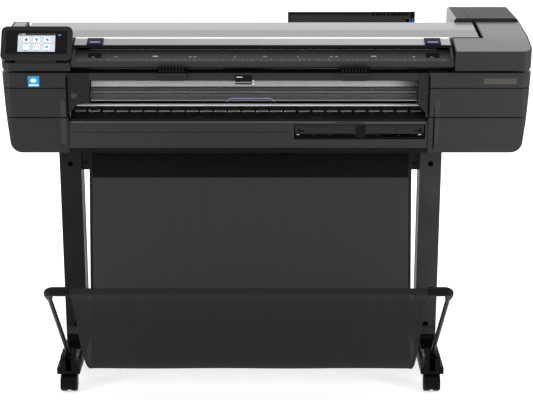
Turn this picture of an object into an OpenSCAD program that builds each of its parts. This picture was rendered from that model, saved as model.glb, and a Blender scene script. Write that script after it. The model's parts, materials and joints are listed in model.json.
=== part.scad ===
// Large format plotter with a document scanner on top, on a wheeled stand with a sheet bin.
// Millimetres, +Z up, floor at Z = 0, the operator stands at -Y.

/* [Printer body] */
// Overall width across the side modules
body_w = 1412; // [1380:1:1430]
// Depth of the side modules
body_d = 450; // [446:1:456]
// Height of the body's underside above the floor
body_z = 660; // [655:1:670]
// Wall thickness of the moulded casings
wall = 3; // [2.5:0.1:3.5]
// Radius of the upright front corners of the modules
corner_r = 28; // [20:1:34]
// Radius of the lower outer corners of the modules, seen from the front
bottom_r = 32; // [24:1:38]

/* [Stand] */
// Distance between the centres of the two legs
leg_span = 1002; // [990:1:1010]
// Offset of the stand and the paper path from the middle of the body
path_x = -44.5; // [-50:0.5:-40]
// Width of a leg tube
leg_w = 60; // [56:1:62]
// Depth of a leg tube
leg_d = 60; // [50:1:64]
// Length of a foot
foot_len = 518; // [500:1:530]
// Diameter of a caster wheel
caster_dia = 48; // [46:1:48]

/* [Sheet bin] */
// Width of the bin fabric
fabric_w = 894; // [860:1:900]
// Thickness of the solid that stands for the fabric
fabric_t = 3; // [2:0.5:4]
// Diameter of the bin's arm tubes
arm_dia = 12; // [11:0.5:13]

/* [Paper path] */
// Diameter of the feed roller
feed_dia = 24; // [22:0.5:24]
// Spacing of the output rollers
output_pitch = 37.7; // [37:0.1:38]
// Length of one output roller
output_len = 29; // [24:1:30]
// Outer diameter of the roll spindle
spindle_dia = 50; // [46:1:50]

/* [Hidden] */

$fn = 48;
cut = 1;                 // how far a cutting solid runs past a face
fit = 0.05;              // radial clearance of a running fit
gap = 0.5;               // gap between neighbouring casings

// The body's front face lies front_y behind the origin, so that the open bin and the
// rear of the body reach equally far from it.
front_y = -32.5;

half_w = body_w / 2;
module_h = 220;          // height of the side modules
top_z = body_z + module_h;
seam_z = body_z + 98;    // seam between lower and upper covers
line_z = body_z + 178;   // decorative line round the upper covers
bay_l = -531;            // inner faces of the two side modules
bay_r = 434;
plate_t = 3;             // steel side plates
in_l = bay_l + 4.5;      // free width between the side plates
in_r = bay_r - 4.5;

// ---- helpers ----

module place() translate([0, front_y, 0]) children();

module box(x0, x1, y0, y1, z0, z1) translate([x0, y0, z0]) cube([x1 - x0, y1 - y0, z1 - z0]);

// Extrudes a Y-Z section along X.
module along_x(x0, x1)
    translate([x0, 0, 0]) rotate([90, 0, 90]) linear_extrude(x1 - x0) children();

// Extrudes an X-Z section along Y.
module along_y(y0, y1)
    translate([0, y1, 0]) rotate([90, 0, 0]) linear_extrude(y1 - y0) children();

module rod_x(x0, x1, r, y, z) translate([x0, y, z]) rotate([0, 90, 0]) cylinder(h = x1 - x0, r = r);

module rod_y(x, y0, y1, r, z) translate([x, y0, z]) rotate([-90, 0, 0]) cylinder(h = y1 - y0, r = r);

function arc(cx, cy, r, from, to, steps) =
    [for (i = [0:steps]) let (a = from + (to - from) * i / steps) [cx + r * cos(a), cy + r * sin(a)]];

// ---- side modules ----

taper_mid = 9;           // how far the outer side draws in at 100 mm above the underside
taper_low = 17;          // and where the bottom corner begins
taper_z = body_z + 100;

// Front outline of the right-hand module, drawn in by d; inner is its inner face.
function front_outline(inner, d) = concat([[inner, body_z + d]],
    arc(half_w - taper_low - bottom_r, body_z + bottom_r, bottom_r - d, -90, -8, 9),
    [[half_w - taper_mid - d, taper_z], [half_w - d, top_z - d], [inner, top_z - d]]);

// Plan outline with its rounded front corner.
function plan_outline(inner, d) = concat([[inner, d]],
    arc(half_w - corner_r, corner_r, corner_r - d, -90, 0, 9),
    [[half_w - d, body_d - d], [inner, body_d - d]]);

module side_block(inner, z0, z1, d) intersection() {
    along_y(0, body_d) polygon(front_outline(inner, d));
    translate([0, 0, z0]) linear_extrude(z1 - z0) polygon(plan_outline(inner, d));
}

groove_w = 1.8;
trim_w = 15;             // narrow upright strip beside the bay

module lower_shell(inner) difference() {
    side_block(inner, body_z, seam_z - gap * 2, 0);
    side_block(inner - cut, body_z, seam_z + cut, wall);
    box(inner + trim_w, inner + trim_w + groove_w, -cut, groove_w, body_z + 14, seam_z);
}

module upper_shell(inner) difference() {
    side_block(inner, seam_z + gap * 2, top_z, 0);
    side_block(inner - cut, seam_z - cut, top_z, wall);
    difference() {
        side_block(inner - cut, line_z, line_z + groove_w, 0);
        side_block(inner - 2 * cut, line_z - cut, line_z + 2 * groove_w, groove_w);
    }
    box(inner + trim_w, inner + trim_w + groove_w, -cut, groove_w, seam_z, body_z + 130);
}

door_y = 38;             // the ink door takes the front of the left lower cover
ink_hinge = [38.5, body_z + 1.6];

module left_lower_cover() color([0.22, 0.215, 0.205]) place() difference() {
    mirror([1, 0, 0]) lower_shell(-bay_l);
    box(-half_w - cut, bay_l + cut, -cut, door_y + 3, body_z - cut, top_z);
}

module ink_door() color([0.22, 0.215, 0.205]) place() {
    intersection() {
        mirror([1, 0, 0]) lower_shell(-bay_l);
        box(-half_w - cut, bay_l + cut, -cut, door_y, body_z - cut, top_z);
    }
    rod_x(-640, -545, 1.2, ink_hinge[0], ink_hinge[1]);
}

module left_upper_cover() color([0.22, 0.215, 0.205]) place()
    mirror([1, 0, 0]) upper_shell(-bay_l);

inlet_x = 610;
inlet_z = body_z + 40;
inlet_w = 48;
inlet_h = 28;

module right_lower_cover() color([0.26, 0.26, 0.26]) place() difference() {
    lower_shell(bay_r);
    box(inlet_x - inlet_w / 2 - gap, inlet_x + inlet_w / 2 + gap, body_d - 2 * wall, body_d + cut,
        inlet_z - inlet_h / 2 - gap, inlet_z + inlet_h / 2 + gap);
}

module right_upper_cover() color([0.26, 0.26, 0.26]) place() upper_shell(bay_r);

// Mains socket and rocker switch in the back of the right module.
socket_w = 26;
socket_h = 18;
module power_inlet() color([0.12, 0.12, 0.12]) place() {
    difference() {
        box(inlet_x - inlet_w / 2, inlet_x + inlet_w / 2, body_d - 24, body_d,
            inlet_z - inlet_h / 2, inlet_z + inlet_h / 2);
        box(inlet_x - 21, inlet_x - 21 + socket_w, body_d - 18, body_d + cut,
            inlet_z - socket_h / 2, inlet_z + socket_h / 2);
        box(inlet_x + 8, inlet_x + 21, body_d - 3, body_d + cut, inlet_z - 11, inlet_z + 11);
    }
    for (pin = [[-14.5, 0], [-8, 4.5], [-1.5, 0]])
        box(inlet_x + pin[0] - 1, inlet_x + pin[0] + 1, body_d - 18, body_d - 4,
            inlet_z + pin[1] - 2, inlet_z + pin[1] + 2);
    box(inlet_x + 9, inlet_x + 20, body_d - 3, body_d + 1.5, inlet_z - 10, inlet_z + 10);
}

// ---- shaft lines of the paper path, as [y, z] ----

feed_at = [165, body_z + 114];
pinch_at = [165, feed_at[1] + feed_dia / 2 + 6.3];
output_at = [37.5, body_z + 101.9];
rod_at = [170, body_z + 170];
spindle_at = [395, body_z + 85];

feed_shaft = 4;
pinch_shaft = 2;
output_shaft = 3;
output_r = 8;
spindle_end = 8;

// ---- chassis ----

cover_hinge = [441, body_z + 8];
hinge_lug = 10;
rear_lugs = [-500, 380];

module base_tray() color([0.1, 0.1, 0.1]) place() {
    box(bay_l + gap, bay_r - gap, 6, 432, body_z, body_z + 6);
    box(bay_l + gap, bay_r - gap, 6, 9, body_z + 6, body_z + 13.5);
    for (rail = [[70, 96], [404, 428]])
        box(rail[0], rail[1], 30, 300, body_z + 6, body_z + 39.6);
    for (x = rear_lugs) {
        box(x, x + hinge_lug, 430, 446, body_z, body_z + 14);
        rod_x(x + hinge_lug - cut, x + hinge_lug + 18, 3, cover_hinge[0], cover_hinge[1]);
    }
}

module plate(x0) difference() {
    along_x(x0, x0 + plate_t) polygon([[34, body_z + 6], [430, body_z + 6], [430, body_z + 216],
        [34, body_z + 216], [34, body_z + 114], [26, body_z + 114], [26, body_z + 90],
        [34, body_z + 90]]);
    for (hole = [[feed_at, feed_shaft], [pinch_at, pinch_shaft], [output_at, output_shaft]])
        rod_x(x0 - cut, x0 + plate_t + cut, hole[1] + fit, hole[0][0], hole[0][1]);
    rod_x(x0 - cut, x0 + plate_t + cut, spindle_end + fit, spindle_at[0], spindle_at[1]);
    box(x0 - cut, x0 + plate_t + cut, spindle_at[0], 430 + cut,
        spindle_at[1] - spindle_end - fit, spindle_at[1] + spindle_end + fit);
}

module side_plates() color([0.6, 0.61, 0.62]) place() {
    plate(bay_l + 1);
    plate(bay_r - 1 - plate_t);
}

// ---- front of the bay ----

tray_x0 = 74;            // mouth of the sheet tray
tray_x1 = 426;
tray_z0 = body_z + 38;
tray_z1 = body_z + 78;

module front_cover() color([0.25, 0.25, 0.25]) place() difference() {
    along_x(bay_l + gap, bay_r - gap) polygon([[2, body_z + 14], [2, body_z + 58], [6, body_z + 88],
        [9.4, body_z + 88], [5.2, body_z + 57.5], [5.2, body_z + 17], [20, body_z + 17],
        [20, body_z + 14]]);
    box(tray_x0, tray_x1, 0, 22, tray_z0, tray_z1);
}

module sheet_tray() color([0.2, 0.2, 0.2]) place() {
    x0 = tray_x0 + 4;
    x1 = tray_x1 - 4;
    post = [240, 266];
    box(x0, x1, 4, 290, tray_z0 + 2, tray_z0 + 5);
    box(x0, x0 + 3, 4, 290, tray_z0 + 5, tray_z0 + 16);
    box(x1 - 3, x1, 4, 290, tray_z0 + 5, tray_z0 + 16);
    box(x0, x1, 287, 290, tray_z0 + 5, tray_z0 + 16);
    box(post[0], post[1], 2.5, 22, tray_z0 + 5, tray_z1 - 2);
    for (side = [[tray_x0 + 2, post[0] - 1], [post[1] + 1, tray_x1 - 2]]) {
        box(side[0], side[1], 9, 12, tray_z0 + 14, tray_z1 - 1);
        for (step = [0:2])
            box(side[0] + 6 * step, side[1] - 6 * step, 8 - 1.5 * step, 9, tray_z0 + 14 + 3 * step,
                tray_z1 - 6 - 4 * step);
        box(side[0], side[1], 12, 40, tray_z0 + 14, tray_z0 + 17);
        box(side[0] + 10, side[0] + 14, 12, 40, tray_z0 + 5, tray_z0 + 14);
        box(side[1] - 14, side[1] - 10, 12, 40, tray_z0 + 5, tray_z0 + 14);
    }
}

pane_x0 = -472;
pane_x1 = 403;
pane_top = body_z + 197;
pane_low = body_z + 140;
pane_hinge = [12, pane_top - 3];

module window_frame() color([0.13, 0.13, 0.13]) place() {
    box(bay_l + gap, bay_r - gap, 4, 30, pane_top + 2, top_z - 1);
    for (side = [[bay_l + gap, pane_x0 - 1], [pane_x1 + 1, bay_r - gap]])
        box(side[0], side[1], 4, 30, pane_low - 2, pane_top + 2);
    along_y(4, 9) {
        polygon([[bay_l + gap, pane_low - 2], [bay_l + 30, pane_low - 2], [bay_l + gap, pane_low - 34]]);
        polygon([[bay_r - gap, pane_low - 2], [bay_r - 34, pane_low - 2], [bay_r - gap, pane_low - 38]]);
    }
    for (x = [pane_x0 - 1, pane_x1 - 5])
        rod_x(x, x + 6, 1.5, pane_hinge[0], pane_hinge[1]);
}

module window_pane() color([0.75, 0.78, 0.8, 0.35]) place() {
    difference() {
        union() {
            box(pane_x0, pane_x1, 10, 14, pane_low, pane_top - 3);
            rod_x(pane_x0, pane_x1, 3, pane_hinge[0], pane_hinge[1]);
        }
        for (x = [pane_x0 - cut, pane_x1 - 5 - gap])
            rod_x(x, x + 5 + cut + gap, 1.5 + fit, pane_hinge[0], pane_hinge[1]);
    }
    along_y(6, 10) polygon([[-106, pane_low], [-94, pane_low + 9], [10, pane_low + 9], [22, pane_low]]);
}

// ---- rear of the bay ----

rear_tray_at = [356, top_z + 4];
rear_tray_tilt = 50.5;
rear_tray_len = 108;
rear_tray_x0 = 62;
rear_tray_x1 = 430;
tray_lugs = [46, 416];

module rear_top_cover() color([0.2, 0.2, 0.2]) place() {
    difference() {
        along_x(in_l, in_r) polygon([[238, top_z - 4], [346, top_z - 4], [362, top_z - 12],
            [372, top_z - 42], [369, top_z - 42], [359.4, top_z - 14.4], [345.4, top_z - 7],
            [238, top_z - 7]]);
        box(in_l - cut, in_r + cut, 330, 344, top_z - 20, top_z);
    }
    for (x = tray_lugs) {
        box(x, x + hinge_lug, 350, 361, top_z - 12, top_z + 10);
        pin_dir = x < 200 ? 1 : -1;
        pin_x = x < 200 ? x + hinge_lug : x;
        rod_x(min(pin_x, pin_x + 12 * pin_dir), max(pin_x, pin_x + 12 * pin_dir), 2.5,
            rear_tray_at[0], rear_tray_at[1]);
    }
}

cover_r = 84;            // outer radius of the roll cover

module roll_cover() color([0.22, 0.22, 0.22]) place() {
    difference() {
        along_x(in_l, in_r) intersection() {
            translate(spindle_at) difference() {
                circle(r = cover_r, $fn = 96);
                circle(r = cover_r - wall, $fn = 96);
            }
            polygon([spindle_at, spindle_at + 200 * [cos(110), sin(110)], spindle_at + [200, 200],
                spindle_at + [200, -200], spindle_at + 200 * [cos(-62), sin(-62)]]);
        }
        box(-120, 20, spindle_at[0] + cover_r - 8, spindle_at[0] + cover_r - 1.5,
            spindle_at[1] + 20, spindle_at[1] + 34);
        for (x = rear_lugs)
            box(x - gap, x + hinge_lug + gap, 420, 446, body_z, body_z + 16);
    }
    for (x = rear_lugs) difference() {
        union() {
            rod_x(x + hinge_lug + 1, x + hinge_lug + 17, 6, cover_hinge[0], cover_hinge[1]);
            box(x + hinge_lug + 1, x + hinge_lug + 17, 432, 441, body_z + 11, body_z + 14);
        }
        rod_x(x, x + 40, 3 + fit, cover_hinge[0], cover_hinge[1]);
    }
}

module rear_tray() color([0.14, 0.14, 0.14]) place()
    translate([0, rear_tray_at[0], rear_tray_at[1]]) rotate([rear_tray_tilt, 0, 0]) {
        box(rear_tray_x0, rear_tray_x1, 12, rear_tray_len, -5, -1);
        for (i = [0:6])
            box(rear_tray_x0 + 20 + 52 * i, rear_tray_x0 + 24 + 52 * i, 14, rear_tray_len - 16, -1, 1.5);
        box(rear_tray_x0, rear_tray_x0 + 4, 12, rear_tray_len, -1, 5);
        box(rear_tray_x0, rear_tray_x1, rear_tray_len - 3, rear_tray_len, -1, 5);
        for (x = [tray_lugs[0] + hinge_lug + 1, tray_lugs[1] - 17]) difference() {
            union() {
                rod_x(x, x + 16, 5.5, 0, 0);
                box(x, x + 16, 0, 14, -5, 0);
            }
            rod_x(x - cut, x + 16 + cut, 2.5 + fit, 0, 0);
        }
    }

guide_x = 408;
module sheet_guide() color([0.05, 0.45, 0.85]) place()
    translate([0, rear_tray_at[0], rear_tray_at[1]]) rotate([rear_tray_tilt, 0, 0]) {
        box(guide_x, guide_x + 3, 14, 50, 2, 14);
        box(guide_x + 3, guide_x + 14, 20, 44, 2, 6);
    }

// ---- paper path ----

output_n = 25;
output_x0 = -516;        // left end of the first output roller
platen_y = 152;
station_x = 326;         // the service station takes the right end
rib_n = 22;              // ribs that hold the sheet off the platen

module platen() color([0.16, 0.16, 0.17]) place() difference() {
    union() {
        along_x(in_l, in_r) polygon([[62, body_z + 126], [60, body_z + 126], [10, body_z + 92],
            [10, body_z + 88], [62, body_z + 119]]);
        box(in_l, station_x - 4, 62, platen_y, body_z + 119, body_z + 126);
        for (i = [0:rib_n - 1])
            box(output_x0 + output_len + output_pitch * i + 3, output_x0 + output_len + output_pitch * i + 6,
                66, platen_y - 30, body_z + 126, body_z + 127.5);
    }
    for (i = [0:output_n - 1])
        box(output_x0 - 1 + output_pitch * i, output_x0 + output_len + 1 + output_pitch * i, 28.6, 46.4,
            body_z + 88, body_z + 130);
    rod_x(in_l - cut, in_r + cut, output_shaft + 1, output_at[0], output_at[1]);
}

module feed_roller() color([0.15, 0.15, 0.15]) place() {
    rod_x(bay_l - 24, bay_r + 4, feed_shaft, feed_at[0], feed_at[1]);
    difference() {
        rod_x(in_l + 4, in_r - 4, feed_dia / 2, feed_at[0], feed_at[1]);
        rod_x(in_l, in_r, feed_shaft, feed_at[0], feed_at[1]);
    }
    gear_r = 30;
    teeth = 48;
    difference() {
        along_x(bay_l - 16, bay_l - 8) translate(feed_at) union() {
            circle(r = gear_r - 2);
            for (i = [0:teeth - 1]) rotate(i * 360 / teeth) translate([gear_r - 3, -0.8]) square([3, 1.6]);
        }
        rod_x(bay_l - 20, bay_l, feed_shaft, feed_at[0], feed_at[1]);
    }
}

module pinch_rollers() color([0.1, 0.1, 0.1]) place() {
    rod_x(bay_l - 3, bay_r + 3, pinch_shaft, pinch_at[0], pinch_at[1]);
    for (i = [0:10]) difference() {
        rod_x(-505 + 88 * i, -465 + 88 * i, 6, pinch_at[0], pinch_at[1]);
        rod_x(-506 + 88 * i, -464 + 88 * i, pinch_shaft, pinch_at[0], pinch_at[1]);
    }
}

module output_rollers() color([0.45, 0.46, 0.47]) place() {
    rod_x(bay_l - 3, bay_r + 3, output_shaft, output_at[0], output_at[1]);
    for (i = [0:output_n - 1]) {
        x = output_x0 + output_pitch * i;
        difference() {
            rod_x(x, x + output_len, output_r, output_at[0], output_at[1]);
            rod_x(x - cut, x + output_len + cut, output_shaft, output_at[0], output_at[1]);
        }
    }
}

rail_x0 = -480;
belt_y = 184;
belt_z = body_z + 182;
pulley_r = 8;
pulley_l = -505;
pulley_r_x = 412;

module carriage_rail() color([0.72, 0.73, 0.74]) place() {
    difference() {
        along_x(rail_x0, in_r) polygon([[192, body_z + 140], [240, body_z + 140], [240, body_z + 143],
            [195, body_z + 143], [195, body_z + 207], [240, body_z + 207], [240, body_z + 210],
            [192, body_z + 210]]);
        rod_y(pulley_r_x, 190, 200, 2.5 + fit, belt_z);
    }
    rod_x(bay_l + 1 + plate_t, bay_r - 1 - plate_t, 6, rod_at[0], rod_at[1]);
}

carriage_x0 = -105;
carriage_x1 = -5;
jaw_x = -55;
strand_z = belt_z + pulley_r + 0.3;

module carriage() color([0.17, 0.17, 0.18]) place() {
    difference() {
        union() {
            box(carriage_x0, carriage_x1, 84, 148, body_z + 130, body_z + 188);
            box(carriage_x0, carriage_x1, 148, 178, body_z + 142, body_z + 188);
        }
        rod_x(carriage_x0 - cut, carriage_x1 + cut, 6 + fit, rod_at[0], rod_at[1]);
        for (i = [0:3])
            box(carriage_x0 + 9 + 22 * i, carriage_x0 + 25 + 22 * i, 96, 138, body_z + 183, body_z + 190);
    }
    difference() {
        box(jaw_x - 10, jaw_x + 10, 178, 188.5, strand_z - 3, strand_z + 4);
        box(jaw_x - 11, jaw_x + 11, 180.5, 190, strand_z - 0.3, strand_z + 1.7);
    }
}

module carriage_belt() color([0.08, 0.08, 0.08]) place()
    along_y(belt_y - 3, belt_y + 3) {
        inner_r = pulley_r + 0.3;
        outer_r = inner_r + 1.4;
        for (z = [belt_z + inner_r, belt_z - outer_r])
            translate([pulley_l, z]) square([pulley_r_x - pulley_l, outer_r - inner_r]);
        for (end = [[pulley_l, -100], [pulley_r_x, 0]])
            translate([end[0], belt_z]) intersection() {
                difference() {
                    circle(r = outer_r);
                    circle(r = inner_r);
                }
                translate([end[1], -50]) square(100);
            }
    }

module drive_pulley() color([0.75, 0.75, 0.76]) place() {
    rod_y(pulley_l, belt_y - 4, belt_y + 4, pulley_r, belt_z);
    rod_y(pulley_l, belt_y + 4, belt_y + 18, 2.5, belt_z);
}

module idler_pulley() color([0.75, 0.75, 0.76]) place() {
    rod_y(pulley_r_x, belt_y - 4, belt_y + 4, pulley_r, belt_z);
    rod_y(pulley_r_x, belt_y + 4, belt_y + 14, 2.5, belt_z);
}

module drive_motors() color([0.5, 0.5, 0.52]) place() {
    difference() {
        rod_y(pulley_l, 194, 240, 18, belt_z);
        rod_y(pulley_l, 193, 204, 2.5 + fit, belt_z);
    }
    rod_x(bay_l - 70, bay_l - 18, 18, feed_at[0] + 52, feed_at[1]);
    box(bay_l - 18, bay_l, 198, 246, feed_at[1] - 22, feed_at[1] + 22);
}

module roll_spindle() color([0.13, 0.13, 0.13]) place() {
    rod_x(bay_l + 8, bay_r - 8, spindle_dia / 2, spindle_at[0], spindle_at[1]);
    rod_x(bay_l - 8, bay_l + 8, spindle_end, spindle_at[0], spindle_at[1]);
    rod_x(bay_r - 8, bay_r + 8, spindle_end, spindle_at[0], spindle_at[1]);
    for (x = [bay_l + 16, bay_r - 32]) difference() {
        rod_x(x, x + 12, 52, spindle_at[0], spindle_at[1]);
        rod_x(x - cut, x + 13, spindle_dia / 2, spindle_at[0], spindle_at[1]);
    }
    for (side = [[bay_l - 20, bay_l - 8], [bay_r + 8, bay_r + 20]])
        rod_x(side[0], side[1], 17, spindle_at[0], spindle_at[1]);
}

cartridge_n = 4;
module ink_cartridges() color([0.1, 0.1, 0.1]) place()
    for (i = [0:cartridge_n - 1])
        box(bay_l - 36 - 31 * i, bay_l - 10 - 31 * i, 62, 190, body_z + 4, body_z + 80);

module service_station() color([0.3, 0.3, 0.31]) place() {
    difference() {
        box(station_x, in_r - 4, 66, 148, body_z + 84, body_z + 125);
        box(station_x + 4, in_r - 8, 72, 142, body_z + 96, body_z + 126);
    }
    for (i = [0:3])
        box(station_x + 12 + 21 * i, station_x + 26 + 21 * i, 84, 132, body_z + 96, body_z + 124);
}

module mainboard() color([0.05, 0.3, 0.15]) place() {
    box(470, 670, 180, 400, body_z + 112, body_z + 113.6);
    for (part = [[490, 200, 30, 30, 4], [540, 220, 24, 24, 3], [600, 200, 40, 20, 12],
        [500, 300, 50, 18, 9], [580, 290, 18, 40, 14], [620, 340, 36, 36, 6]])
        box(part[0], part[0] + part[2], part[1], part[1] + part[3], body_z + 113.6, body_z + 113.6 + part[4]);
}

// ---- scanner ----

scan_z = top_z + 6;      // underside of the scanner, a black gap above the printer
bed_x0 = -518;
bed_x1 = 498;
deck_x0 = -653;          // rear deck under the lid
deck_x1 = 572;
glass_z = scan_z + 46;

module scanner_base() color([0.2, 0.2, 0.205]) place() difference() {
    union() {
        difference() {
            along_x(bed_x0, bed_x1) polygon([[5, scan_z + 10], [5, scan_z + 23], [62, scan_z + 42.3],
                [62, scan_z + 44], [91, scan_z + 46], [91, scan_z], [30, scan_z], [18, scan_z + 10]]);
            along_x(bed_x0 + wall, bed_x1 - wall) polygon([[8, scan_z + 13], [8, scan_z + 21],
                [65, scan_z + 40.3], [65, scan_z + 41], [91 + cut, scan_z + 43], [91 + cut, scan_z + wall],
                [31, scan_z + wall], [19, scan_z + 13]]);
        }
        difference() {
            along_x(deck_x0, deck_x1) polygon([[91, scan_z], [91, scan_z + 46], [246, scan_z + 50],
                [246, scan_z]]);
            along_x(deck_x0 + wall, deck_x1 - wall) polygon([[94, scan_z + wall], [94, scan_z + 43],
                [243, scan_z + 47], [243, scan_z + wall]]);
            box(bed_x0 + wall, bed_x1 - wall, 91 - cut, 95, scan_z + wall, scan_z + 42.9);
        }
        for (x = [-610, 540])
            box(x, x + 30, 110, 230, top_z, scan_z);
    }
    box(-472, 456, 66, 120, scan_z + 40, scan_z + 60);
}

module scanner_glass() color([0.55, 0.6, 0.62, 0.4]) place()
    box(-471.5, 455.5, 66.5, 119.5, glass_z - 4.5, glass_z - 0.5);

module image_sensors() color([0.2, 0.2, 0.22]) place()
    for (i = [0:3])
        box(-466 + 230 * i, -244 + 230 * i, 74 + 18 * (i % 2), 90 + 18 * (i % 2), glass_z - 24, glass_z - 5);

roller_at = [94, scan_z + 55.5];
lid_hinge = [250, scan_z + 82];

module lid_section(d)
    polygon([[44 + d, scan_z + 53 - (d > 0 ? 2 : 0)], [44 + d, scan_z + 61 - d], [88, scan_z + 71.4 - d],
        [250 - d, scan_z + 84.5 - d], [250 - d, scan_z + 53 - (d > 0 ? 2 : 0)]]);

module scanner_lid() color([0.74, 0.75, 0.76]) place() difference() {
    union() {
        intersection() {
            along_x(bed_x0 + 4, bed_x1 - 6) lid_section(0);
            box(-half_w, half_w, 0, 92, scan_z, scan_z + 200);
        }
        intersection() {
            along_x(deck_x0 - 2, deck_x1 + 2) lid_section(0);
            box(-half_w, half_w, 92, 260, scan_z, scan_z + 200);
        }
        rod_x(-620, -560, 2, lid_hinge[0], lid_hinge[1]);
    }
    intersection() {
        along_x(bed_x0 + 7, bed_x1 - 9) lid_section(wall);
        box(-half_w, half_w, 0, 96, scan_z, scan_z + 200);
    }
    intersection() {
        along_x(deck_x0 + 1, deck_x1 - 1) lid_section(wall);
        box(-half_w, half_w, 95, 260, scan_z, scan_z + 200);
    }
}

module scanner_roller() color([0.1, 0.1, 0.1]) place() {
    rod_x(bed_x0 + 9, bed_x1 - 11, 3, roller_at[0], roller_at[1]);
    for (i = [0:7]) difference() {
        rod_x(-460 + 115 * i, -380 + 115 * i, 7, roller_at[0], roller_at[1]);
        rod_x(-461 + 115 * i, -379 + 115 * i, 3, roller_at[0], roller_at[1]);
    }
}

strip_tilt = 13.3;       // slope of the lid's front strip
latch_w = 43;
latch_l_x = -480;
latch_r_x = 423;

module latch(x) translate([x, 44, scan_z + 61.5]) {
    rotate([strip_tilt, 0, 0]) {
        box(0, latch_w, -2, 36, 0.4, 4);
        rod_x(0, latch_w, 1.7, 36, 2.2);
        box(10, latch_w - 10, 4, 9, 4, 5);
    }
    box(0, latch_w, -4, -0.6, -7, 3);
}

module latch_left() color([0.1, 0.1, 0.11]) place() latch(latch_l_x);

module latch_right() color([0.1, 0.1, 0.11]) place() latch(latch_r_x);

flap_hinge = [-2, scan_z + 8];
module deflector(x) {
    w = 80;
    along_y(-8, -5) polygon([[x + 2, scan_z + 12], [x + w - 2, scan_z + 12], [x + w, scan_z - 16],
        [x + w - 8, scan_z - 22], [x + 8, scan_z - 22], [x, scan_z - 16]]);
    for (i = [0:6])
        box(x + 8 + 10 * i, x + 11 + 10 * i, -9.5, -8, scan_z - 18, scan_z + 8);
    box(x + 4, x + w - 4, -5, 1, flap_hinge[1] - 1.5, flap_hinge[1] + 1.5);
    rod_x(x + 4, x + w - 4, 2.5, flap_hinge[0], flap_hinge[1]);
}

module deflector_left() color([0.09, 0.09, 0.09]) place() deflector(-291);

module deflector_right() color([0.09, 0.09, 0.09]) place() deflector(194);

notch_y = 90.5;

cap_r = 15;              // radius of the caps' lower outer corners

// Front outline of a cap, drawn in by d and open below where d is positive.
function cap_outline(inner, d) = concat([[inner, scan_z - d], [half_w - cap_r, scan_z - d]],
    arc(half_w - cap_r, scan_z + cap_r, cap_r - d, -90, 0, 6), [[half_w - d, scan_z + 200],
    [inner, scan_z + 200]]);

// A scanner end cap on the right; inner is its inner face in front, notch its inner face behind.
module end_cap(inner, notch, outer_pts, inner_pts) difference() {
    intersection() {
        along_x(inner, half_w) polygon(outer_pts);
        translate([0, 0, scan_z - cut]) linear_extrude(200) polygon(plan_outline(inner, 0));
        along_y(-cut, cap_rear + cut) polygon(cap_outline(inner, 0));
    }
    intersection() {
        along_x(inner - cut, half_w - wall) polygon(inner_pts);
        translate([0, 0, scan_z - cut]) linear_extrude(200) polygon(plan_outline(inner - cut, wall));
        along_y(-cut, cap_rear + cut) polygon(cap_outline(inner - 2 * cut, wall));
    }
    box(inner - cut, notch, notch_y, 260, scan_z - cut, scan_z + 200);
}

cap_rear = 252;

module left_end_cap() color([0.24, 0.235, 0.225]) place() mirror([1, 0, 0])
    end_cap(520, 662, [[0, scan_z], [0, scan_z + 21], [9, scan_z + 23], [43, scan_z + 70],
        [100, scan_z + 74], [cap_rear, scan_z + 86.5], [cap_rear, scan_z]],
        [[wall, scan_z - cut], [wall, scan_z + 18.5], [11, scan_z + 20.5], [45, scan_z + 67],
        [100, scan_z + 71], [cap_rear - wall, scan_z + 83], [cap_rear - wall, scan_z - cut]]);

module right_end_cap() color([0.26, 0.26, 0.26]) place()
    end_cap(500, 582, [[0, scan_z], [0, scan_z + 51], [100, scan_z + 74], [cap_rear, scan_z + 86.5],
        [cap_rear, scan_z]],
        [[wall, scan_z - cut], [wall, scan_z + 48.5], [100, scan_z + 71],
        [cap_rear - wall, scan_z + 83], [cap_rear - wall, scan_z - cut]]);

rear_box_x = 525;
module rear_box() color([0.34, 0.34, 0.34]) place() {
    corner = 12;
    section = concat([[rear_box_x, top_z]], [[rear_box_x, top_z + 95], [rear_box_x + 6, top_z + 101]],
        arc(half_w - corner, top_z + 101 - corner, corner, 90, 0, 8), [[half_w, top_z]]);
    difference() {
        along_y(256, 445) polygon(section);
        box(rear_box_x + wall, half_w - wall, 259, 442, top_z - cut, top_z + 76);
        box(rear_box_x + 41, rear_box_x + 42.2, 250, 450, top_z + 100, top_z + 102);
    }
}

panel_x0 = -705;
panel_w = 189;
panel_h = 97;
panel_t = 12;
panel_hinge = [2, top_z + 32];
panel_tilt = 56;         // face angle above the horizontal
panel_r = 15;

module control_panel() color([0.25, 0.25, 0.25]) {
    place() translate([panel_x0, -4.5, top_z + 36]) rotate([panel_tilt, 0, 0]) difference() {
        translate([0, 0, -panel_t]) linear_extrude(panel_t)
            union() {
                translate([panel_r, 0]) square([panel_w - 2 * panel_r, panel_h]);
                translate([0, panel_r]) square([panel_w, panel_h - 2 * panel_r]);
                for (x = [panel_r, panel_w - panel_r], y = [panel_r, panel_h - panel_r])
                    translate([x, y]) circle(r = panel_r);
            }
        box(13, panel_w - 13, 17, panel_h - 12, -0.8, cut);
    }
    place() rod_x(panel_x0 + 40, panel_x0 + panel_w - 40, 4, panel_hinge[0], panel_hinge[1]);
}

// ---- stand ----

leg_l = path_x - leg_span / 2;
leg_r = path_x + leg_span / 2;
leg_y = 115;
foot_y = -93;
foot_z = 52;             // underside of the foot
foot_top = 75;
foot_w = 63;
foot_wall = 2.5;
arm_at = [-62, 97];      // pivot of the bin's arm, as [y, z]
bolt_z = 598;
plate_top = body_z;

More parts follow.
